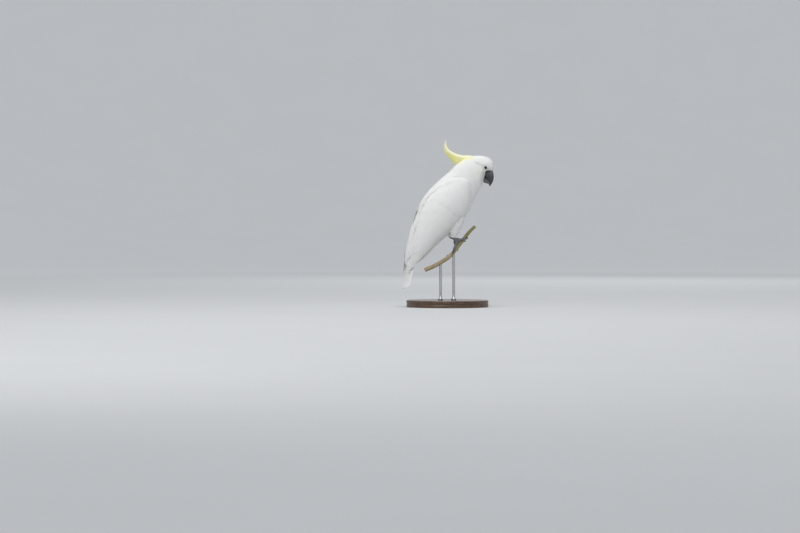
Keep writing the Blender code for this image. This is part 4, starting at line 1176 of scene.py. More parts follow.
def flight_set(side, rng):
    coat = Coat()
    grids = []
    us = np.concatenate([np.linspace(0, 0.82, 22), np.linspace(0.85, 1.0, 14)])
    feathers = []
    for i, tip in enumerate((8.7 if side == "left" else 7.4, 9.5, 9.15)):
        feathers.append((3.4, tip, (0.04, 0.10, 0.16)[i], (0.10, 0.26, 0.38)[i], 27.0, 0.5, 0.84, 0.12))
    for i, tip in enumerate(TERTIAL_TIPS):
        feathers.append((1.6, tip, 0.26 + 0.075 * i, 0.30 + 0.10 * i, 30.0, 0.5, 0.86, 0.14))
    for i, tip in enumerate(SECONDARY_TIPS):
        feathers.append((1.4, tip, 0.52 + 0.042 * i, 0.66 + 0.045 * i, 29.0, 0.5, 0.88, 0.12))
    for i, tip in enumerate(PRIMARY_TIPS):
        feathers.append((1.8, tip, 0.82 + 0.020 * i, 0.42 + 0.0645 * i, 21.0 - 0.45 * i, 0.62, 0.80, 0.08))
    total = len(feathers)
    for k, (s0, s1, t_low, t_high, wide, blunt, full, tip) in enumerate(feathers):
        s = s0 + (s1 + 0.0 - s0) * us
        primary = k >= 3 + len(TERTIAL_TIPS) + len(SECONDARY_TIPS)
        grow = smooth(6.6, 9.6, s) if primary else smooth(4.0, 8.0, s)
        t = t_low + (t_high - t_low) * grow
        t = np.minimum(t, 1.0)
        chord = spl(WING_CHORD, np.minimum(s, 11)) * 0.86
        # the left wing's uppermost vanes curl in over the rump, and the right wing leaves more of it bare
        curl = 0.24 * smooth(4.6, 6.6, s) * (k < 3) if side == "left" else -0.14 * smooth(6.8, 7.7, s) * smooth(9.8, 8.8, s)
        width = np.minimum(wide, (t + 0.03 + curl) * chord)
        width = np.maximum(width, 4.0) * MM
        edge = wing_place(s, t)[0]
        inward = wing_place(s, t - 0.02)[0] - edge
        rootmap = np.array([0.02 + 0.040 * k, 0.03])
        patch = np.array([[0.0, 0.92], [0.034, 0.0]])
        shade = np.zeros((len(us), 13, 3))
        shade[..., 0] = rng.uniform(0, 0.9)
        shade[..., 1] = 0.05 * (1 - us[:, None])
        shade[..., 2] = 0.10 * smooth(0.45, 1.0, us)[:, None] * (0.4 if not primary else 1.0)
        level = -0.10 * MM if primary else 0.0
        sink = 2.8 if k == 0 else (2.3 if primary else 2.0)
        grids.append(long_vane(coat, wing_sheet, edge, inward, width, us, 13, rng, rootmap, patch, 3.4 * MM, sink * MM, level, shade,
                               tip=tip, blunt=blunt, full=full))
    name = f"flight_feathers_{side}"
    if side == "right":
        for i, part in enumerate(coat.parts):
            grid, lower, rootmap, patch, vane, colour = part
            flip = np.array([-1.0, 1.0, 1.0])
            coat.parts[i] = (grid[:, :, ::-1] * flip, lower[:, :, ::-1] * flip, rootmap, patch, vane[:, :, ::-1], colour[:, :, ::-1])
    obj = coat.build(name)
    obj.data.materials.append(flight_white)
    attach(obj, "root")
    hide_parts(f"primaries_{side}")
    report[name] = coat.count()
    return obj


for side in ("left", "right"):
    flight_set(side, np.random.default_rng(21 if side == "left" else 22))

# ---- coverts, laid along the fleshed wing ----
def wing_path(s0, t0, length, us, drift):
    """Centre lines along a wing from (s, t), bending across by drift over their length."""
    s, t = s0.copy(), t0.copy()
    rows = [wing_place(s, t)[0]]
    for k in range(1, len(us)):
        for _ in range(3):
            step = length * (us[k] - us[k - 1]) / 3
            speed = np.linalg.norm(wing_place(s + 0.02, t)[0] - wing_place(s - 0.02, t)[0], axis=-1) / 0.04
            s = s + step / speed
            t = t + drift * (us[k] - us[k - 1]) / 3
        rows.append(wing_place(s, t)[0])
    return np.stack(rows, axis=1)


def wing_map(points):
    s, t, _ = wing_lie(points)
    return np.stack([0.03 + 0.9 * t, 0.03 + 0.9 * s / 11], -1)


def plain_tint(rng, grey=0.0):
    def tint(path, grid):
        n, R, C, _ = grid.shape
        out = np.zeros((n, R, C, 3))
        out[..., 0] = rng.uniform(0, 1, n)[:, None, None]
        out[..., 1] = 0.01
        out[..., 2] = grey
        return out
    return tint


def covert_set(side, rng):
    coat = Coat()
    rows = []
    # greater coverts, then the two rows of median coverts, then the primary coverts at the lower edge
    k = np.arange(15)
    rows.append((6.35 - 1.15 * (k / 14) - 0.05 * (k % 2), 0.10 + 0.80 * k / 14, 46.0, 17.0))
    rows.append((5.30 - 1.0 * (k / 14), 0.06 + 0.84 * k / 14, 32.0, 15.0))
    k = np.arange(17)
    rows.append((4.45 - 0.8 * (k / 16), 0.05 + 0.87 * k / 16, 27.0, 13.0))
    k = np.arange(9)
    rows.append((7.0 - 0.35 * k, 0.955 - 0.012 * k, 52.0 - 2.0 * k, 9.0))
    us = np.array([0, 0.16, 0.32, 0.46, 0.58, 0.68, 0.77, 0.84, 0.90, 0.95, 0.985, 1.0])
    for tips, ts, length, wide in rows:
        length = np.broadcast_to(length, ts.shape) * MM
        s = tips.astype(float).copy()
        for _ in range(40):
            speed = np.linalg.norm(wing_place(s + 0.02, ts)[0] - wing_place(s - 0.02, ts)[0], axis=-1) / 0.04
            s = np.maximum(s - length / 40 / speed, -0.1)
        n = len(ts)
        path = wing_path(s, ts + rng.uniform(-0.008, 0.008, n), length * rng.uniform(0.97, 1.03, n), us, rng.uniform(-0.01, 0.01, n))
        lay(coat, wing_left_skin, path, us, 9, np.full(n, wide * MM) * rng.uniform(0.95, 1.05, n), np.full(n, 2.2 * MM), rng, wing_map, plain_tint(rng, 0.02),
            power=3.4, slope=0.012, camber=0.035, level=rng.normal(0, 0.04, n) * MM, ragged=0.03, droop=0.02, shape=outline(us, 0.4, 0.62, 0.14, 0.5), tilt=0.8 * MM)
    # lesser coverts
    p = wing_left_skin.scatter(rng, 26000)
    s, t, d = wing_lie(p)
    ok = (d < 1.3) & (s < 3.7 - 0.5 * t) & (p[:, 0] > 0)
    p, s, t = p[ok], s[ok], t[ok]
    length = (8.0 + 2.4 * np.clip(s, 0, 3.2)) * (1 - 0.35 * smooth(0.75, 1.0, t))
    kept = spaced(p, length * 0.27 * MM)
    p, s, t, length = p[kept], s[kept], t[kept], length[kept]
    for low, high, kind in ((0, 9.0, "middle"), (9.0, 99, "large")):
        pick = np.where((length >= low) & (length < high))[0]
        us, cols = ROWS[kind]
        n = len(pick)
        if not n:
            continue
        size = length[pick] * rng.uniform(0.92, 1.1, n) * MM
        path = wing_path(s[pick], t[pick], size, us, rng.normal(0, 0.012, n))
        lay(coat, wing_left_skin, path, us, cols, size * 0.76, np.full(n, 1.9 * MM), rng, wing_map, body_tint(rng), power=4.0, slope=0.04, camber=0.03,
            level=rng.normal(0, 0.003, n) * size, tip_lift=0.004 * size, ragged=0.06, droop=0.02)
    if side == "right":
        flip = np.array([-1.0, 1.0, 1.0])
        for i, part in enumerate(coat.parts):
            grid, lower, rootmap, patch, vane, colour = part
            coat.parts[i] = (grid[:, :, ::-1] * flip, None, rootmap, patch, vane[:, :, ::-1], colour[:, :, ::-1])
    name = f"covert_feathers_{side}"
    obj = coat.build(name)
    obj.data.materials.append(coat_white)
    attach(obj, "root")
    report[name] = coat.count()


for side in ("left", "right"):
    covert_set(side, np.random.default_rng(31 if side == "left" else 32))


# ---- scapulars, over the upper edge of each wing ----
def scapular_set(rng):
    coat = Coat()
    for side in (1, -1):
        n = 150
        s = rng.uniform(0.35, 5.4, n)
        t = rng.uniform(-0.10, 0.13, n) + 0.03 * (s < 1.5)
        start = wing_place(s, t)[0] * np.array([side, 1.0, 1.0])
        kept = spaced(start, np.full(n, 5.6 * MM))
        start, s = start[kept], s[kept]
        n = len(kept)
        us = np.array([0, 0.16, 0.32, 0.46, 0.58, 0.68, 0.77, 0.84, 0.90, 0.95, 0.985, 1.0])

        def along(points):
            q = points * np.array([side, 1.0, 1.0])
            s1, t1, _ = wing_lie(q)
            d = wing_place(s1 + 0.05, t1)[0] - wing_place(s1 - 0.05, t1)[0]
            return unit(d) * np.array([side, 1.0, 1.0])

        length = (20.0 + 4.6 * s) * rng.uniform(0.92, 1.08, n) * MM
        path = trace(over, start, length, us, along, np.radians(rng.normal(0, 4, n)))
        lay(coat, over, path, us, 9, length * 0.60, np.full(n, 2.4 * MM), rng, body_map, plain_tint(rng, 0.01), power=3.6, slope=0.025, camber=0.03,
            level=0.05 * MM + rng.normal(0, 0.05, n) * MM, ragged=0.05, droop=0.02, shape=outline(us, 0.4, 0.6, 0.14, 0.5))
    obj = coat.build("scapular_feathers")
    obj.data.materials.append(coat_white)
    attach(obj, "root")
    report["scapular_feathers"] = coat.count()


scapular_set(np.random.default_rng(41))

# ---- tail ----
TT4, WW4 = np.meshgrid(np.linspace(0, 4.0, 90), np.linspace(-1.12, 1.12, 50), indexing="ij")
tail_top, tail_down, _ = tail_place(TT4, WW4)
tail_sheet = sheet(tail_top, -tail_down)


def tail_set(rng):
    coat = Coat()
    us = np.concatenate([np.linspace(0, 0.86, 24), np.linspace(0.885, 1.0, 12)])
    index = 0
    for k in range(5, -1, -1):
        for side in (1, -1):
            t = 0.15 + (3.985 - 0.03 * (k == 5) - 0.15) * us
            w = (0.34 + 0.115 * k) + ((0.25 + 0.15 * k) - (0.34 + 0.115 * k)) * smooth(0.2, 3.0, t)
            half = spl(TAIL_HALF, np.minimum(t, 4))
            width = np.minimum(25.0, (w + 0.62) * half) * MM
            edge = tail_place(t, side * w)[0]
            inward = tail_place(t, side * (w - 0.03))[0] - edge
            shade = np.zeros((len(us), 13, 3))
            shade[..., 0] = rng.uniform(0, 0.8)
            shade[..., 1] = 0.10 * (1 - us[:, None]) * (np.linspace(-1, 1, 13)[None, :] < 0.2)
            shade[..., 2] = 0.05 * smooth(0.5, 1.0, us)[:, None]
            grid_start = len(coat.parts)
            long_vane(coat, tail_sheet, edge, inward, width, us, 13, rng, np.array([0.03 + 0.078 * index, 0.03]), np.array([[0.0, 0.92], [0.066, 0.0]]),
                      1.2 * MM, 1.9 * MM, (0.10 if side > 0 and k == 0 else 0.0) * MM, shade, tip=0.22, blunt=0.42, full=0.925, root_wide=0.6)
            if side < 0:
                grid, lower, rootmap, patch, vane, colour = coat.parts[grid_start]
                coat.parts[grid_start] = (grid[:, :, ::-1], lower[:, :, ::-1], rootmap, patch, vane[:, :, ::-1], colour[:, :, ::-1])
            index += 1
    obj = coat.build("tail_feathers")
    obj.data.materials.append(flight_white)
    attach(obj, "root")
    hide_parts("tail")
    report["tail_feathers"] = coat.count()


tail_set(np.random.default_rng(51))


# ------------------------------------------------------------------ crest
def crest_paint():
    p = Paint("lemon_crest_plumage", Roughness=0.7, Sheen_Weight=0.1, Sheen_Roughness=0.5, Specular_IOR_Level=0.28)
    shade, yellow, pale = p.coat()[:3]
    x, y, _ = p.split(p.uv("vane"))[:3]
    here = p.here()
    fine = p.noise(here, 420.0, 3.0)
    side = p.math("ABSOLUTE", x)
    streak = p.noise(p.node("CombineXYZ", {0: p.math("MULTIPLY", x, 14.0), 1: p.math("MULTIPLY", y, 0.8), 2: shade}).outputs[0], 1.0, 3.0)
    phase = p.math("ADD", p.math("MULTIPLY", p.math("SUBTRACT", y, p.math("MULTIPLY", side, 1.3)), math.tau * 10.0 / 0.5), p.math("MULTIPLY", fine, 14.0))
    barbs = p.math("MULTIPLY_ADD", p.math("SINE", phase), 0.5, 0.5)
    colour = p.mix((0.95, 0.95, 0.70), (0.97, 0.95, 0.37), yellow)
    colour = p.mix(colour, (0.93, 0.87, 0.22), p.math("MULTIPLY", p.span(streak, 0.45, 0.75), p.math("MULTIPLY", yellow, 0.45)))
    colour = p.mix(colour, (0.90, 0.90, 0.78), pale)
    colour = p.mix(colour, (0.86, 0.80, 0.30), p.math("MULTIPLY", barbs, 0.12))
    height = p.math("ADD", p.math("MULTIPLY", barbs, 0.6), p.span(side, 0.012, 0.045, 1.1, 0.0))
    return p.finish(colour, p.span(fine, 0.3, 0.7, 0.6, 0.8), p.bump(height, 0.00012, 0.55))


def crest_set(rng):
    """Narrow feathers lying in one another like channels, their tips staggered up the back of the crest."""
    coat = Coat()
    us = np.concatenate([np.linspace(0, 0.8, 24), np.linspace(0.835, 1.0, 10)])
    cols = 9
    v = np.linspace(-1, 1, cols)
    upper, lower, half = column(CREST, 0), column(CREST, 1), column(CREST, 2)
    # root station, tip station, place across at the root and at the tip, side shift in mm
    feathers = [
        (0.10, 8.00, 0.30, 0.55, 0.3), (0.25, 7.72, 0.36, 0.72, -1.3), (0.40, 7.35, 0.42, 0.82, 1.4), (0.55, 6.95, 0.46, 0.88, -1.8),
        (0.70, 6.55, 0.50, 0.91, 2.0), (0.85, 6.15, 0.54, 0.93, -2.2), (1.00, 5.70, 0.58, 0.94, 2.4), (1.15, 5.30, 0.62, 0.95, -2.6),
        (1.30, 4.90, 0.66, 0.96, 2.8), (1.45, 4.50, 0.70, 0.965, -2.8), (1.60, 4.15, 0.74, 0.97, 2.6), (1.70, 3.85, 0.78, 0.97, -2.4),
        (1.80, 3.60, 0.82, 0.97, 2.0), (1.90, 3.40, 0.86, 0.97, -1.4), (2.00, 3.25, 0.90, 0.97, 0.6),
    ]
    tips, ranks = np.array([f[1] for f in feathers]), np.arange(len(feathers), dtype=float)
    for k, (w0, w1, _, _, shift) in enumerate(feathers):
        w = w0 + (w1 - w0) * us
        left = np.interp(w, tips[::-1], ranks[::-1])
        q = 0.05 + 0.88 * (k + 0.25) / (left + 0.55)
        q = np.minimum(q + 0.05 * us, 0.97)
        a, b = spl(upper, w), spl(lower, w)
        centre = a + (b - a) * q[:, None]
        tangent = unit(np.gradient(centre, axis=0))
        up = np.stack([tangent[:, 1], -tangent[:, 0]], -1)
        toward = a - b
        up = np.where(((up * toward).sum(-1) < 0)[:, None], -up, up)
        thick = np.linalg.norm(toward, axis=-1)
        form = np.minimum(1.0, 0.55 + 1.6 * us) * np.maximum(np.clip(1 - ((us - 0.62) / 0.38).clip(0, None) ** 2, 0, 1) ** 0.75, 0.10)
        wide = np.minimum(spl(half, np.minimum(w, 8)) * 0.86, 6.6) * form
        fall = np.minimum(0.34 * thick + 1.0, 6.4) * form
        rough = 1 + 0.03 * rng.uniform(-1, 1, (len(us), 2))
        reach = np.where(v[None, :] < 0, rough[:, :1], rough[:, 1:]) * v[None, :]
        bend = reach * 1.15
        side = wide[:, None] * np.sin(bend) / math.sin(1.15)
        down = fall[:, None] * (1 - np.cos(bend)) / (1 - math.cos(1.15))
        lean = shift * (1 - us ** 2) * (1 - 0.2 * us)
        F = centre[:, None, 0] - up[:, None, 0] * down
        Z = centre[:, None, 1] - up[:, None, 1] * down
        F = F + tangent[:, None, 0] * (-0.25 * down)
        Z = Z + tangent[:, None, 1] * (-0.25 * down)
        grid = place(F, Z, lean[:, None] + side)
        spine = 0.28 * np.exp(-((reach * wide[:, None]) / 0.7) ** 2)
        lift = place(up[:, None, 0] + 0 * down, up[:, None, 1] + 0 * down, 0 * down) - place(0 * down, 0 * down, 0 * down)
        grid = grid + lift * spine[..., None] * 1.0
        back = grid - lift * 0.22 - np.stack([np.sign(v)[None, :] * 0.12 * np.abs(v)[None, :] + 0 * down, 0 * down, 0 * down], -1) * MM
        along = np.concatenate([[0], np.cumsum(np.linalg.norm(np.diff(centre, axis=0), axis=-1))])
        vane = np.stack([reach * np.hypot(wide, fall)[:, None] / 10, np.broadcast_to(along[:, None] / 10, reach.shape)], -1)
        colour = np.zeros((len(us), cols, 3))
        colour[..., 0] = rng.uniform(0, 1)
        middle = math.exp(-(((k - 6.5) / 5.0) ** 2))
        colour[..., 1] = np.clip((0.50 + 0.50 * middle) * (1 - 0.62 * smooth(4.0, 7.8, w)[:, None]) - 0.12 * np.abs(v)[None, :], 0, 1)
        colour[..., 2] = 0.5 * smooth(0.82, 1.0, us)[:, None] + (0.55, 0.38, 0.18)[min(k, 2)] * (k < 3) + 0.30 * smooth(1.4, 0.3, w)[:, None]
        coat.add(grid[None], back[None], np.array([[0.03 + 0.062 * k, 0.03]]), np.array([[[0.0, 0.92], [0.052, 0.0]]]), vane[None], colour[None])
    obj = coat.build("crest_feathers")
    obj.data.materials.append(crest_paint())
    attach(obj, "root")
    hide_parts("crest")
    report["crest_feathers"] = coat.count()


crest_set(np.random.default_rng(61))
print("coat", report, sum(report.values()))


# ------------------------------------------------------------------ bill
def grid_normals(grid):
    """Outward normals of a closed-around grid of rings."""
    du = np.gradient(grid, axis=0)
    da = np.roll(grid, -1, 1) - np.roll(grid, 1, 1)
    n = unit(np.cross(du, da))
    centre = grid.mean(1, keepdims=True)
    flip = ((grid - centre) * n).sum(-1).mean() < 0
    return -n if flip else n


def horn_paint(name, dark, pale, gloss):
    p = Paint(name, Roughness=gloss, Specular_IOR_Level=0.45, Coat_Weight=0.10, Coat_Roughness=0.35)
    bare, worn, wave = p.coat()[:3]
    grain = p.uv("grain")
    streak = p.noise(p.stretched(grain, 5.0, 34.0, 1.0), 1.0, 4.0, 0.6)
    layer = p.noise(p.stretched(grain, 60.0, 3.0, 1.0), 1.0, 3.0, 0.6)
    here = p.here()
    blotch = p.noise(here, 160.0, 4.0, 0.6)
    powder = p.noise(here, 900.0, 3.0)
    colour = p.mix(dark, pale, p.math("MULTIPLY", p.span(blotch, 0.42, 0.72), 0.55))
    colour = p.mix(colour, pale, p.math("MULTIPLY", p.span(streak, 0.5, 0.75), 0.40))
    colour = p.mix(colour, (0.27, 0.26, 0.29), p.math("MULTIPLY", worn, p.span(powder, 0.30, 0.70, 0.35, 0.9)))
    colour = p.mix(colour, (0.055, 0.052, 0.055), bare)
    height = p.math("ADD", p.math("MULTIPLY", layer, 0.7), p.math("MULTIPLY", streak, 0.5))
    rough = p.span(blotch, 0.3, 0.75, gloss - 0.06, gloss + 0.16)
    return p.finish(colour, rough, p.bump(height, 0.00022, 0.5, p.bump(powder, 0.00005, 0.5)))


def ring_maps(rings, around, groups, count):
    """(along, round) for each corner of a lathe's faces."""
    along = np.repeat(np.arange(rings) / (rings - 1), around)
    turn = np.tile(np.arange(around) / around, rings)
    uv = np.concatenate([np.stack([along, turn], 1), [[0.0, 0.5], [1.0, 0.5]]])
    out = []
    for g in groups:
        corner = uv[g].copy()
        wrap = (corner[..., 1].max(1) - corner[..., 1].min(1)) > 0.5
        corner[wrap, :, 1] = np.where(corner[wrap, :, 1] < 0.3, corner[wrap, :, 1] + 1, corner[wrap, :, 1])
        out.append(corner.reshape(-1, 2))
    return np.concatenate(out)


def horn(name, grid, t, a, table, caps, nodes, paint, cere):
    n = grid_normals(grid)
    steps = np.linalg.norm(np.diff(grid.mean(1), axis=0), axis=-1)
    along = np.concatenate([[0], np.cumsum(steps)])[:, None] / MM
    move = 0.045 * np.sin(math.tau * (along + 0.5 * np.cos(a)) / 1.9) + 0.030 * np.sin(math.tau * (along + 0.3 * np.cos(a)) / 0.83)
    move = move + 0.10 * wobble(grid, 6.0) + 0.05 * wobble(grid, 2.2, 5.0)
    colour = np.zeros((*t.shape, 4))
    colour[..., 3] = 1
    if cere:
        band = smooth(1.62, 1.38, t)
        move = move + 0.55 * band
        for sign in (-1, 1):
            hole = grid[np.argmin(np.abs(t[:, 0] - 1.22)), np.argmin(np.abs(((a[0] - sign * 0.62) + math.pi) % math.tau - math.pi))]
            gap = np.linalg.norm(grid - hole, axis=-1) / MM
            move = move - 1.3 * np.exp(-(gap / 1.0) ** 2) + 0.22 * np.exp(-((gap - 1.9) / 0.6) ** 2)
        colour[..., 0] = band
        colour[..., 1] = 0.25 * smooth(0.75, 1.0, np.cos(a)) * smooth(1.6, 3, t)
        ridge = np.exp(-(((a + math.pi) % math.tau - math.pi) / 0.30) ** 2)
        move = move + 0.25 * ridge * smooth(1.2, 2.5, t) * smooth(7.2, 5.5, t)
        colour[..., 1] += 0.5 * smooth(5.2, 6.8, t) + 0.75 * np.exp(-(((t - 1.75) / 0.85) ** 2)) * np.exp(-((np.abs((a + math.pi) % math.tau - math.pi) - 1.05) / 0.55) ** 2)
    else:
        colour[..., 1] = 0.30 * smooth(3.2, 5.0, t) + 0.45
    grid = grid + n * (move * MM)[..., None]
    points, groups = lathe(grid, caps)
    colours = np.concatenate([colour.reshape(-1, 4), colour[0, :1], colour[-1, :1]])
    obj = make(name, points, groups, {"grain": ring_maps(*grid.shape[:2], groups, len(points))}, colours)
    obj.data.materials.append(paint)
    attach(obj, "root")
    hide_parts(*nodes)
    return obj


horn("upper_bill", upper_grid, upper_t, upper_a, UPPER_BILL, (0.0, 0.4), ["bill_upper"], horn_paint("slate_upper_horn", (0.040, 0.040, 0.046), (0.125, 0.122, 0.135), 0.42), True)
horn("lower_bill", lower_grid, lower_t, lower_a, LOWER_BILL, (0.0, 0.4), ["bill_lower"], horn_paint("slate_lower_horn", (0.060, 0.060, 0.066), (0.155, 0.150, 0.160), 0.46), False)


# ------------------------------------------------------------------ eyes and lids
def eye_paint():
    p = Paint("dark_eye", Roughness=0.07, Specular_IOR_Level=0.35, Coat_Weight=0.35, Coat_Roughness=0.03)
    out, turn, _ = p.coat()[:3]
    rays = p.noise(p.node("CombineXYZ", {0: p.math("MULTIPLY", turn, 46.0), 1: p.math("MULTIPLY", out, 4.0), 2: 0.0}).outputs[0], 1.0, 3.0)
    iris = p.mix((0.012, 0.006, 0.004), (0.034, 0.017, 0.010), p.span(rays, 0.4, 0.7))
    colour = p.mix((0.002, 0.002, 0.002), iris, p.span(out, 0.36, 0.42))
    colour = p.mix(colour, (0.012, 0.008, 0.007), p.span(out, 0.72, 0.80))
    return p.finish(colour, p.span(rays, 0.3, 0.7, 0.03, 0.07))


def lid_paint():
    p = Paint("bare_eye_ring", Roughness=0.6, Specular_IOR_Level=0.35, Subsurface_Weight=0.0)
    fold, margin, _ = p.coat()[:3]
    here = p.here()
    spots = p.noise(here, 1400.0, 3.0)
    colour = p.mix((0.80, 0.79, 0.74), (0.70, 0.70, 0.68), p.span(p.noise(here, 260.0), 0.4, 0.7))
    # painted shade in the valleys of the ring's wrinkles
    colour = p.mix(colour, (0.58, 0.58, 0.56), p.math("MULTIPLY", fold, 0.6))
    colour = p.mix(colour, (0.10, 0.095, 0.09), margin)
    return p.finish(colour, p.span(spots, 0.3, 0.7, 0.5, 0.7), p.bump(spots, 0.0001, 0.6))


eye_material, lid_material = eye_paint(), lid_paint()


def envelope_side(f, z, sign):
    """Side distance in millimetres of the feather surface at side-view points."""
    out = []
    for ff, zz in zip(f.ravel(), z.ravel()):
        start = Vector(place(ff, zz, sign * 70.0).tolist())
        hit = under.tree.ray_cast(start, Vector((-sign, 0, 0)))
        out.append(abs(hit[0].x) / MM if hit[0] is not None else 20.0)
    return np.array(out).reshape(f.shape)


for label, sign in (("right", -1), ("left", 1)):
    rings, around = 56, 72
    theta = np.linspace(0.0, math.pi, rings + 2)[1:-1][:, None]
    phi = (math.tau * np.arange(around) / around)[None, :]
    radius = EYE_RADIUS + 0.30 * smooth(0.95, 0.2, theta) + 0 * phi
    # the axis points out to the side, a little forward and down
    axis = unit(np.array([sign * 0.985, -0.15, -0.02]))
    e1 = unit(np.cross(axis, np.array([0, 0, 1.0])))
    e2 = np.cross(axis, e1)
    centre = place(EYE_CENTRE[0], EYE_CENTRE[1], sign * EYE_OUT)
    grid = centre + ((np.cos(theta) * radius)[..., None] * axis + (np.sin(theta) * np.cos(phi) * radius)[..., None] * e1 + (np.sin(theta) * np.sin(phi) * radius)[..., None] * e2) * MM
    points, groups = lathe(grid, (0.02, 0.02))
    ball = np.zeros((rings, around, 4))
    ball[..., 0] = np.sin(theta) * (theta < math.pi / 2) + (theta >= math.pi / 2) * 1.0
    ball[..., 1] = phi / math.tau
    ball[..., 3] = 1
    tints = np.concatenate([ball.reshape(-1, 4), [[0, 0, 0, 1], [1, 0, 0, 1]]])
    eye = make(f"eyeball_{label}", points, groups, None, tints)
    eye.data.materials.append(eye_material)
    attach(eye, "root")
    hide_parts(f"eye_{label}")
    # lids and bare ring: one closed ring round the eye
    around = 120
    phi = (math.tau * np.arange(around) / around)[None, :]
    opening = 4.55 + 0.25 * np.cos(2 * phi) + 0.10 * np.cos(phi - 0.6)
    out = np.linspace(0, 1, 34)[:, None]
    r = opening + (8.5 - opening) * out
    F, Z = EYE_CENTRE[0] + r * np.cos(phi), EYE_CENTRE[1] + r * np.sin(phi)
    surface = envelope_side(F, Z, sign)
    ball_side = EYE_OUT + np.sqrt(np.maximum((EYE_RADIUS + 0.12) ** 2 - r ** 2, 0))
    skin_side = surface - 1.15
    mix = smooth(4.9, 7.4, r)
    level = np.maximum(ball_side + 0.28, skin_side) * (1 - mix) + (skin_side + 0.30 - 0.9 * smooth(7.7, 8.5, r)) * mix
    level = level + 0.30 * np.exp(-((r - opening - 0.75) / 0.45) ** 2)
    crease = np.sin(math.tau * (r - opening) / 0.95 + 0.7 * np.sin(3 * phi) + 0.4 * np.sin(7 * phi))
    level = level + 0.075 * crease * smooth(0.9, 1.5, r - opening) * smooth(8.4, 7.6, r)
    level = level + 0.05 * np.sin(34 * phi + 2 * np.sin(5 * phi)) * smooth(0.5, 1.2, r - opening) * smooth(3.6, 2.2, r - opening)
    top = place(F, Z, sign * level)
    inner = place(F[:1] + 0.0 * F[:1], Z[:1], sign * (level[:1] - 0.55))
    low_r = r[::-1][:, :]
    low_level = np.minimum(level[::-1], skin_side[::-1]) - 0.75
    bottom = place(EYE_CENTRE[0] + low_r * np.cos(phi), EYE_CENTRE[1] + low_r * np.sin(phi), sign * low_level)
    loop = np.concatenate([top, bottom], 0)
    rows = len(loop)
    index = np.arange(rows * around).reshape(rows, around)
    nxt, nxr = np.roll(index, -1, 1), np.roll(index, -1, 0)
    nn = np.roll(nxr, -1, 1)
    groups = outwards(loop.reshape(-1, 3), [np.stack([index, nxt, nn, nxr], -1).reshape(-1, 4)])
    tints = np.zeros((rows, around, 4))
    # the first amount marks the valleys of the wrinkles, for painted shade
    tints[:len(top), :, 0] = (0.5 - 0.5 * crease) * smooth(0.8, 1.3, r - opening)
    tints[:len(top), :, 1] = smooth(0.42, 0.12, r - opening) * 0.85
    tints[..., 3] = 1
    lid = make(f"eye_ring_{label}", loop.reshape(-1, 3), groups, None, tints.reshape(-1, 4))
    lid.data.materials.append(lid_material)
    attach(lid, "root")


# ------------------------------------------------------------------ feet, claws and perch
def curve(points, at):
    return spl(np.array([place(*p) for p in points]), at)


def bar_frame(points, radii, at, hint):
    centre = curve(points, at)
    axis = unit(curve(points, at + 0.1) - curve(points, at - 0.1))
    out = unit(hint - axis * (axis @ hint))
    return centre, axis, out, unit(np.cross(axis, out)), float(spl(radii, at))


def pipe(path, radii, around, hint):
    """Rings round a path of points."""
    tangent = unit(np.gradient(path, axis=0))
    side = hint
    rings = []
    a = math.tau * np.arange(around) / around
    for p, t, r in zip(path, tangent, radii):
        side = unit(side - t * (t @ side))
        other = np.cross(t, side)
        rings.append(p + (np.cos(a)[:, None] * side + np.sin(a)[:, None] * other) * r * MM)
    return np.array(rings)


def toe(points, radii, at, hint, turns, alongs, steps):
    per = np.linalg.norm(curve(points, at + 0.5) - curve(points, at - 0.5)) / MM
    path, outs = [], []
    for i in range(steps):
        t = i / (steps - 1)
        centre, axis, out, across, bar = bar_frame(points, radii, at + (alongs[0] + (alongs[1] - alongs[0]) * t) / per, hint)
        angle = math.radians(turns[0] + (turns[1] - turns[0]) * t)
        away = out * math.cos(angle) + across * math.sin(angle)
        path.append(centre + away * (bar + TOE_RADIUS * (1 - 0.2 * t) + TOE_REST + 1.6 * (1 - t) ** 2) * MM)
        outs.append(away)
    return np.array(path), np.array(outs)


def foot_paint():
    p = Paint("grey_foot_skin", Roughness=0.66, Specular_IOR_Level=0.35)
    groove, dust, _ = p.coat()[:3]
    here = p.here()
    fine = p.noise(here, 900.0, 3.0)
    colour = p.mix((0.115, 0.118, 0.128), (0.205, 0.208, 0.220), p.span(p.noise(here, 230.0), 0.35, 0.7))
    colour = p.mix(colour, (0.34, 0.335, 0.33), p.math("MULTIPLY", groove, p.span(fine, 0.3, 0.65, 0.25, 0.75)))
    colour = p.mix(colour, (0.26, 0.25, 0.23), p.math("MULTIPLY", dust, 0.5))
    return p.finish(colour, p.span(fine, 0.3, 0.7, 0.52, 0.78), p.bump(fine, 0.00012, 0.5))


def claw_paint():
    p = Paint("black_claw_horn", Roughness=0.32, Specular_IOR_Level=0.5)
    along, _, _ = p.coat()[:3]
    streak = p.noise(p.stretched(p.uv("grain"), 3.0, 26.0, 1.0), 1.0, 4.0)
    colour = p.mix((0.030, 0.028, 0.030), (0.095, 0.088, 0.085), p.span(streak, 0.45, 0.75))
    colour = p.mix(colour, (0.16, 0.145, 0.13), p.math("MULTIPLY", p.span(along, 0.75, 1.0), 0.6))
    return p.finish(colour, p.span(streak, 0.3, 0.7, 0.25, 0.42), p.bump(streak, 0.0001, 0.5))


foot_material, claw_material = foot_paint(), claw_paint()


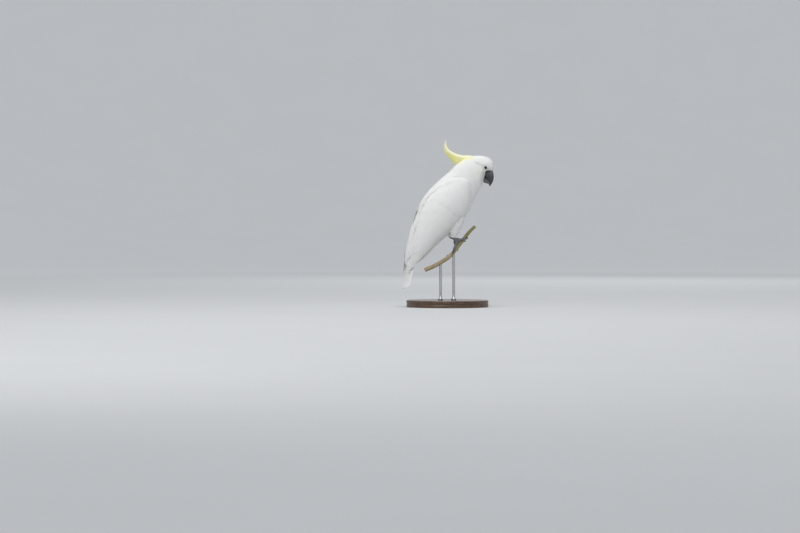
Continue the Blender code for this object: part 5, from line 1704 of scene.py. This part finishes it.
def build_foot(side, points, radii, at, hint, toes, knee):
    hint = np.array(hint)
    origin, axis, out, across, bar = bar_frame(points, radii, at, hint)
    hub = origin + out * (bar + 5.2) * MM
    knots = np.array([knee, knee + (hub - knee) * 0.5 + out * 0.6 * MM, hub + out * 1.2 * MM, hub - out * 1.2 * MM])
    u = np.linspace(-0.12, 3, 30)
    shank_path = spl(knots, u)
    shank_radii = spl([SHANK_RADIUS, SHANK_RADIUS * 0.94, SHANK_RADIUS * 1.15, SHANK_RADIUS * 0.9], u)
    bodies = [lathe(pipe(shank_path, shank_radii, 28, across), (1.0, 0.5))]
    lines, line_outs, kinds, runs = [shank_path], [np.tile(out, (len(shank_path), 1))], [np.zeros(len(shank_path))], [np.concatenate([[0], np.cumsum(np.linalg.norm(np.diff(shank_path, axis=0), axis=-1))])]
    for name, turns, alongs, claw_turn in toes:
        path, outs = toe(points, radii, at, hint, turns, alongs, 40)
        pads = spl([1.12, 1.06, 0.98, 1.0, 0.92, 0.94, 0.86, 0.74], np.linspace(0, 7, 40))
        t = np.linspace(0, 1, 40)
        joint = 0.05 * np.cos(math.tau * 3.2 * t)
        bodies.append(lathe(pipe(path, TOE_RADIUS * (pads + joint), 24, outs[0]), (0.5, 0.8)))
        lines.append(path)
        line_outs.append(outs)
        kinds.append(np.ones(40))
        runs.append(np.concatenate([[0], np.cumsum(np.linalg.norm(np.diff(path, axis=0), axis=-1))]))
        # claw
        forward, outward = unit(path[-1] - path[-5]), outs[-1]
        outward = unit(outward - forward * (forward @ outward))
        here = path[-1] - forward * 1.3 * MM + outward * 0.25 * MM
        stops, steps = [here], 26
        for k in range(1, steps):
            bend = math.radians(claw_turn) * max(0.0, (k / steps) * 1.05 - 0.16)
            here = here + (forward * math.cos(bend) - outward * math.sin(bend)) * (CLAW_LENGTH + 1.3) / steps * MM
            stops.append(here)
        stops = np.array(stops)
        thick = spl([2.25, 2.1, 1.72, 1.12, 0.28], np.linspace(0, 4, steps))
        grid = pipe(stops, thick, 24, outward)
        mid = stops[:, None, :]
        sideways = unit(np.cross(unit(np.gradient(stops, axis=0)), outward))[:, None, :]
        gap = grid - mid
        grid = mid + gap - sideways * ((gap * sideways).sum(-1, keepdims=True)) * 0.22
        pts, groups = lathe(grid, (0.2, 0.15))
        col = np.zeros((steps, 24, 4))
        col[..., 0] = np.linspace(0, 1, steps)[:, None]
        col[..., 3] = 1
        claw = make(f"claw_{name.replace('_', '')}_{side}_horn", pts, groups, {"grain": ring_maps(steps, 24, groups, len(pts))}, np.concatenate([col.reshape(-1, 4), [[0, 0, 0, 1], [1, 0, 0, 1]]]))
        claw.data.materials.append(claw_material)
        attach(claw, "root")
        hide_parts(f"claw_{name}_{side}")
    pts, faces = remeshed(bodies, 0.5, 4)
    n = point_normals(pts, faces)
    line, away, kind, run = np.concatenate(lines), np.concatenate(line_outs), np.concatenate(kinds), np.concatenate(runs) / MM
    tree = KDTree(len(line))
    for i, p in enumerate(line.tolist()):
        tree.insert(p, i)
    tree.balance()
    found = [tree.find_n(p, 2) for p in pts.tolist()]
    a = np.array([f[0][1] for f in found])
    b = np.array([f[1][1] for f in found])
    da, db = np.array([f[0][2] for f in found]), np.array([f[1][2] for f in found])
    same = np.abs(a - b) == 1
    wa = np.where(same, db / (da + db + 1e-9), 1.0)
    position = run[a] * wa + run[b] * (1 - wa)
    facing = (n * away[a]).sum(-1)
    on_top = smooth(0.05, 0.45, facing) * kind[a]
    saw = np.abs(np.sin(math.pi * position / 1.95)) ** 0.55
    cells = np.empty(len(pts))
    for i, p in enumerate(pts.tolist()):
        d = noise.voronoi(Vector((p[0] * 900, p[1] * 900, p[2] * 900)))[0]
        cells[i] = d[1] - d[0]
    pebble = smooth(0.0, 0.35, cells)
    move = on_top * 0.30 * (saw - 0.55) + (1 - on_top) * 0.17 * (pebble - 0.5)
    groove = on_top * smooth(0.5, 0.05, saw) + (1 - on_top) * 0.7 * (1 - pebble)
    pts = pts + n * (move * MM)[:, None]
    colour = np.stack([groove, smooth(0.2, -0.6, facing), np.zeros(len(pts)), np.ones(len(pts))], -1)
    obj = make(f"foot_skin_{side}", pts, [faces], None, colour)
    obj.data.materials.append(foot_material)
    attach(obj, "root")
    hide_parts(f"foot_{side}")


build_foot("right", PERCH, PERCH_RADIUS, 5.0, (0.10, 0.78, 0.62), RIGHT_TOES, place(ANKLE[0], ANKLE[1], -23.5))
build_foot("left", SHOOT, SHOOT_RADIUS, 3.0, (0.0, 0.55, 0.84), LEFT_TOES, place(ANKLE[0], ANKLE[1], 23.5))


def bark_paint():
    p = Paint("twig_bark", Roughness=0.8, Specular_IOR_Level=0.3)
    cut, ring, young = p.coat()[:3]
    grain = p.uv("grain")
    here = p.here()
    streak = p.noise(p.stretched(grain, 1.4, 26.0, 1.0), 1.0, 5.0, 0.62)
    crack = p.noise(p.stretched(grain, 9.0, 60.0, 1.0), 1.0, 4.0, 0.6)
    patch = p.noise(here, 70.0, 4.0, 0.6)
    dots = p.cells(p.stretched(grain, 26.0, 34.0, 1.0), 1.0)
    colour = p.mix((0.31, 0.235, 0.125), (0.47, 0.385, 0.235), p.span(streak, 0.35, 0.68))
    colour = p.mix(colour, (0.225, 0.215, 0.070), p.math("MULTIPLY", young, p.span(patch, 0.2, 0.75, 0.65, 1.0)))
    colour = p.mix(colour, (0.15, 0.11, 0.065), p.math("MULTIPLY", p.span(crack, 0.56, 0.72), 0.7))
    colour = p.mix(colour, (0.56, 0.51, 0.38), p.math("MULTIPLY", p.span(dots, 0.16, 0.08), 0.7))
    colour = p.mix(colour, (0.42, 0.42, 0.36), p.math("MULTIPLY", p.span(patch, 0.55, 0.72), 0.45))
    rings = p.math("MULTIPLY_ADD", p.math("SINE", p.math("MULTIPLY", ring, 52.0)), 0.5, 0.5)
    wood = p.mix((0.60, 0.47, 0.29), (0.44, 0.32, 0.18), p.math("MULTIPLY", rings, 0.6))
    wood = p.mix(wood, (0.22, 0.15, 0.09), p.span(ring, 0.13, 0.06))
    colour = p.mix(colour, wood, cut)
    height = p.math("SUBTRACT", p.math("ADD", p.math("MULTIPLY", streak, 0.9), p.span(dots, 0.20, 0.08, 0.0, 0.35)), p.span(crack, 0.56, 0.72, 0.0, 0.5))
    return p.finish(colour, p.span(streak, 0.3, 0.7, 0.68, 0.88), p.bump(height, 0.0004, 0.6))


def build_perch():
    lines, bodies, rad, run = [], [], [], []
    for points, radii, last in ((PERCH, PERCH_RADIUS, 8.0), (SHOOT, SHOOT_RADIUS, 5.0)):
        u = np.linspace(0, last, 260 if last == 8.0 else 110)
        path, r = curve(points, u), spl(radii, u)
        length = np.concatenate([[0], np.cumsum(np.linalg.norm(np.diff(path, axis=0), axis=-1))]) / MM
        start = 300.0 * len(lines)
        knots = (34.0, 78.0, 121.0, 163.0) if last == 8.0 else (30.0, 60.0)
        swell = sum(0.5 * np.exp(-((length - k) / 2.6) ** 2) - 0.25 * np.exp(-((length - k - 3.2) / 1.2) ** 2) for k in knots)
        bodies.append(lathe(pipe(path, r + swell - 0.15, 48, np.array([0, 0, 1.0]))))
        lines.append(path)
        rad.append(r)
        run.append(length + start)
    for f, z, x, r in ((16, 148.5, -30, 1.7), (-30, 122, -45.5, 1.5), (74, 211, -25.5, 1.5)):
        base_at = place(f, z, x)
        spot = lines[0][np.argmin(np.linalg.norm(lines[0] - base_at, axis=1))]
        away = unit(base_at - spot)
        path = np.array([spot + away * d * MM for d in np.linspace(0, 6.9 + r, 8)])
        bodies.append(lathe(pipe(path, np.linspace(r * 1.7, r, 8), 20, np.array([1.0, 0.2, 0])), (0.0, 0.3)))
    pts, faces = remeshed(bodies, 0.72, 3)
    n = point_normals(pts, faces)
    line, r, along = np.concatenate(lines), np.concatenate(rad), np.concatenate(run)
    tangent = np.concatenate([unit(np.gradient(p, axis=0)) for p in lines])
    tree = KDTree(len(line))
    for i, p in enumerate(line.tolist()):
        tree.insert(p, i)
    tree.balance()
    near = np.array([tree.find(p)[1] for p in pts.tolist()])
    gap = pts - line[near]
    axial = (gap * tangent[near]).sum(-1)
    position = along[near] + axial / MM
    radial = gap - tangent[near] * axial[:, None]
    up = np.array([0, 0, 1.0]) - tangent[near] * tangent[near][:, 2:3]
    up = unit(up)
    side = np.cross(tangent[near], up)
    turn = np.arctan2((radial * side).sum(-1), (radial * up).sum(-1))
    end = (np.abs((n * tangent[near]).sum(-1)) > 0.75) & ((near < 3) | (np.abs(near - 259) < 3) | (near > len(line) - 4))
    spot = np.stack([np.cos(turn) * 3.0, np.sin(turn) * 3.0, position / 9.0], -1) * 0.001
    rough = 0.20 * wobble(spot, 1.0, 3.0) + 0.10 * wobble(spot * np.array([2.6, 2.6, 1.6]), 1.0, 9.0)
    rough = rough + 0.10 * wobble(pts, 2.4, 4.0)
    pts = pts + n * (np.where(end, 0.05 * rough, rough) * MM)[:, None]
    centre_part = np.linalg.norm(radial, axis=-1) / MM / r[near]
    young = np.clip(smooth(95, 150, position) * (position < 299) + 0.75 * (position >= 299), 0, 1)
    colour = np.stack([end.astype(float), np.clip(centre_part, 0, 1.2), young, np.ones(len(pts))], -1)
    grain = np.stack([position / 20.0, turn / math.tau], -1)
    corner = grain[faces]
    wrap = (corner[..., 1].max(1) - corner[..., 1].min(1)) > 0.5
    corner[wrap, :, 1] = np.where(corner[wrap, :, 1] < 0, corner[wrap, :, 1] + 1, corner[wrap, :, 1])
    obj = make("perch_branch", pts, [faces], {"grain": corner.reshape(-1, 2)}, colour)
    obj.data.materials.append(bark_paint())
    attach(obj, "root")
    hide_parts("perch")


build_perch()


# ------------------------------------------------------------------ stand
def wood_paint():
    p = Paint("dark_stained_wood", Roughness=0.42, Specular_IOR_Level=0.5, Coat_Weight=0.25, Coat_Roughness=0.28)
    here = p.here()
    x, y, z = p.split(here)[:3]
    bend = p.noise(here, 7.0, 3.0)
    rings = p.node("CombineXYZ", {0: p.math("MULTIPLY_ADD", bend, 0.03, x), 1: p.math("MULTIPLY", y, 0.06), 2: z}).outputs[0]
    grain = p.noise(rings, 130.0, 5.0, 0.6)
    pores = p.noise(p.stretched(here, 1900.0, 90.0, 1900.0), 1.0, 2.0)
    colour = p.mix((0.050, 0.026, 0.014), (0.150, 0.082, 0.045), p.span(grain, 0.32, 0.70))
    colour = p.mix(colour, (0.022, 0.012, 0.008), p.math("MULTIPLY", p.span(pores, 0.58, 0.70), 0.7))
    return p.finish(colour, p.span(grain, 0.3, 0.7, 0.36, 0.50), p.bump(p.math("SUBTRACT", grain, p.span(pores, 0.58, 0.70, 0.0, 0.8)), 0.00015, 0.5))


def steel_paint():
    p = Paint("satin_steel", Roughness=0.32, Metallic=1.0)
    here = p.here()
    lines = p.noise(p.stretched(here, 2200.0, 2200.0, 60.0), 1.0, 3.0)
    marks = p.noise(here, 120.0, 3.0)
    colour = p.mix((0.52, 0.52, 0.53), (0.60, 0.60, 0.61), p.span(marks, 0.35, 0.7))
    return p.finish(colour, p.span(lines, 0.3, 0.7, 0.26, 0.42), p.bump(lines, 0.00004, 0.5))


def turned_piece(name, profile, centre, around, paint, node):
    """A lathe-turned piece from (radius, height) pairs in millimetres."""
    a = math.tau * np.arange(around) / around
    grid = np.array([[(centre[0] + r * math.cos(x), centre[1] + r * math.sin(x), z) for x in a] for r, z in profile]) * MM
    points, groups = lathe(grid)
    obj = make(name, points, groups)
    obj.data.materials.append(paint)
    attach(obj, "root")
    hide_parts(node)
    hard = obj.data.attributes.new("sharp_face", "BOOLEAN", "FACE")
    flat = np.array([abs(p.normal.z) > 0.999 for p in obj.data.polygons])
    hard.data.foreach_set("value", flat)
    return obj


def rounded(radius, height, bevel, steps=8):
    """Profile of a disc with rounded edges, from the middle of its underside."""
    out = [(radius * 0.5, 0.0), (radius - bevel * 1.2, 0.0)]
    out += [(radius - bevel * 0.4 + bevel * 0.4 * math.sin(k * math.pi / 2 / 4), bevel * 0.4 - bevel * 0.4 * math.cos(k * math.pi / 2 / 4)) for k in range(5)]
    out += [(radius, height * 0.40), (radius - 0.9, height * 0.46), (radius - 1.2, height * 0.50), (radius - 0.9, height * 0.54), (radius, height * 0.60)]
    out += [(radius - bevel + bevel * math.cos(k * math.pi / 2 / steps), height - bevel + bevel * math.sin(k * math.pi / 2 / steps)) for k in range(steps + 1)]
    out += [(radius - bevel * 2.0, height), (radius * 0.5, height)]
    return out


turned_piece("stand_base_wood", rounded(BASE_RADIUS, BASE_HEIGHT, BASE_BEVEL), (0.0, 0.0), 160, wood_paint(), "stand_base")
steel = steel_paint()
for name, (forward, side, top) in RODS.items():
    collar, r = ROD_RADIUS * 1.9, ROD_RADIUS
    low = BASE_HEIGHT
    profile = [(collar * 0.5, low), (collar - 0.4, low), (collar, low + 0.4), (collar, low + COLLAR_HEIGHT - 1.2), (collar - 0.35, low + COLLAR_HEIGHT - 0.5),
               (collar - 1.0, low + COLLAR_HEIGHT), (r + 0.8, low + COLLAR_HEIGHT), (r + 0.2, low + COLLAR_HEIGHT - 0.3), (r, low + COLLAR_HEIGHT - 0.3)]
    profile += [(r, low + COLLAR_HEIGHT + (top - low - COLLAR_HEIGHT) * k / 12) for k in range(1, 13)] + [(r * 0.5, top)]
    turned_piece(name + "_steel", profile, (side, BASE_CENTRE - forward), 40, steel, name)


# ------------------------------------------------------------------ floor, backdrop, lights and camera
def stage_paint():
    p = Paint("pale_glowing_floor", Roughness=0.9, Specular_IOR_Level=0.2)
    here = p.here()
    colour = p.mix((0.60, 0.61, 0.62), (0.63, 0.64, 0.65), p.noise(here, 3.0, 2.0))
    away = p.node("VectorMath", {0: here}, operation="LENGTH").outputs["Value"]
    # painted light: the floor and backdrop glow, more with distance from the middle, to brighten the far floor and the
    # wall
    p.put(p.shader.inputs["Emission Color"], (0.95, 0.97, 1.0))
    p.put(p.shader.inputs["Emission Strength"], p.span(away, 0.7, 5.5, 0.0, 0.22))
    return p.finish(colour, None, p.bump(p.noise(here, 900.0, 2.0), 0.0002, 0.2))


def build_stage():
    around, wide, tall = 128, 15.0, 9.0
    rows = [(0.0, 0.0)] + [(r, 0.0) for r in (0.4, 1.0, 2.0, 4.0, 7.0, 9.0)]
    rows += [(9.0 + 6.0 * math.sin(k * math.pi / 32), 6.0 - 6.0 * math.cos(k * math.pi / 32)) for k in range(1, 17)]
    rows += [(15.0, 7.5), (15.0, 9.0)]
    a = math.tau * np.arange(around) / around
    grid = np.array([[(r * math.cos(x), r * math.sin(x), z) for x in a] for r, z in rows[1:]])
    points = np.concatenate([grid.reshape(-1, 3), [[0, 0, 0]]])
    index = np.arange(grid.shape[0] * around).reshape(-1, around)
    nxt = np.roll(index, -1, 1)
    quads = np.stack([index[:-1], index[1:], nxt[1:], nxt[:-1]], -1).reshape(-1, 4)
    fan = np.stack([np.full(around, len(points) - 1), index[0], nxt[0]], -1)
    floor = make("floor", points, [quads, fan])
    floor.data.materials.append(stage_paint())


build_stage()


def area_light(name, where, target, size, power, colour=(1, 1, 1)):
    data = bpy.data.lights.new(name, "AREA")
    data.shape = "RECTANGLE"
    data.size, data.size_y = size
    data.energy = power
    data.color = colour
    light = bpy.data.objects.new(name, data)
    bpy.context.scene.collection.objects.link(light)
    light.location = where
    light.rotation_mode = "QUATERNION"
    light.rotation_quaternion = (Vector(target) - Vector(where)).to_track_quat("-Z", "Y")
    return light


AIM = Vector((0.0, 0.05, 0.28))
area_light("top_softbox", (-0.6, 0.3, 3.2), AIM, (1.9, 1.9), 56.0, (1.0, 0.995, 0.985))
area_light("camera_side_softbox", (-3.5, 2.2, 2.3), AIM, (2.2, 2.2), 34.0, (1.0, 1.0, 1.0))
area_light("far_side_softbox", (3.4, -1.4, 2.0), AIM, (2.2, 2.2), 18.0, (0.97, 0.985, 1.0))
world = bpy.data.worlds.new("soft_room")
world.use_nodes = True
world.node_tree.nodes["Background"].inputs[0].default_value = (0.93, 0.96, 1.0, 1.0)
world.node_tree.nodes["Background"].inputs[1].default_value = 0.40
bpy.context.scene.world = world
bpy.context.scene.view_settings.view_transform = "Standard"

AZIMUTH, ELEVATION, LENS = math.radians(259.0), math.radians(1.0), 135.0
FRAME_WIDTH = 2.298
camera_data = bpy.data.cameras.new("camera")
camera_data.lens = LENS
camera_data.sensor_width = 36.0
camera = bpy.data.objects.new("camera", camera_data)
bpy.context.scene.collection.objects.link(camera)
back = Vector((math.sin(AZIMUTH) * math.cos(ELEVATION), -math.cos(AZIMUTH) * math.cos(ELEVATION), math.sin(ELEVATION)))
look = Vector((0.0, 0.1392, 0.1171))
distance = FRAME_WIDTH * LENS / 36.0
camera.location = look + back * distance
camera.rotation_mode = "QUATERNION"
camera.rotation_quaternion = (-back).to_track_quat("-Z", "Y")
camera_data.clip_start, camera_data.clip_end = 0.1, 60.0
bpy.context.scene.camera = camera
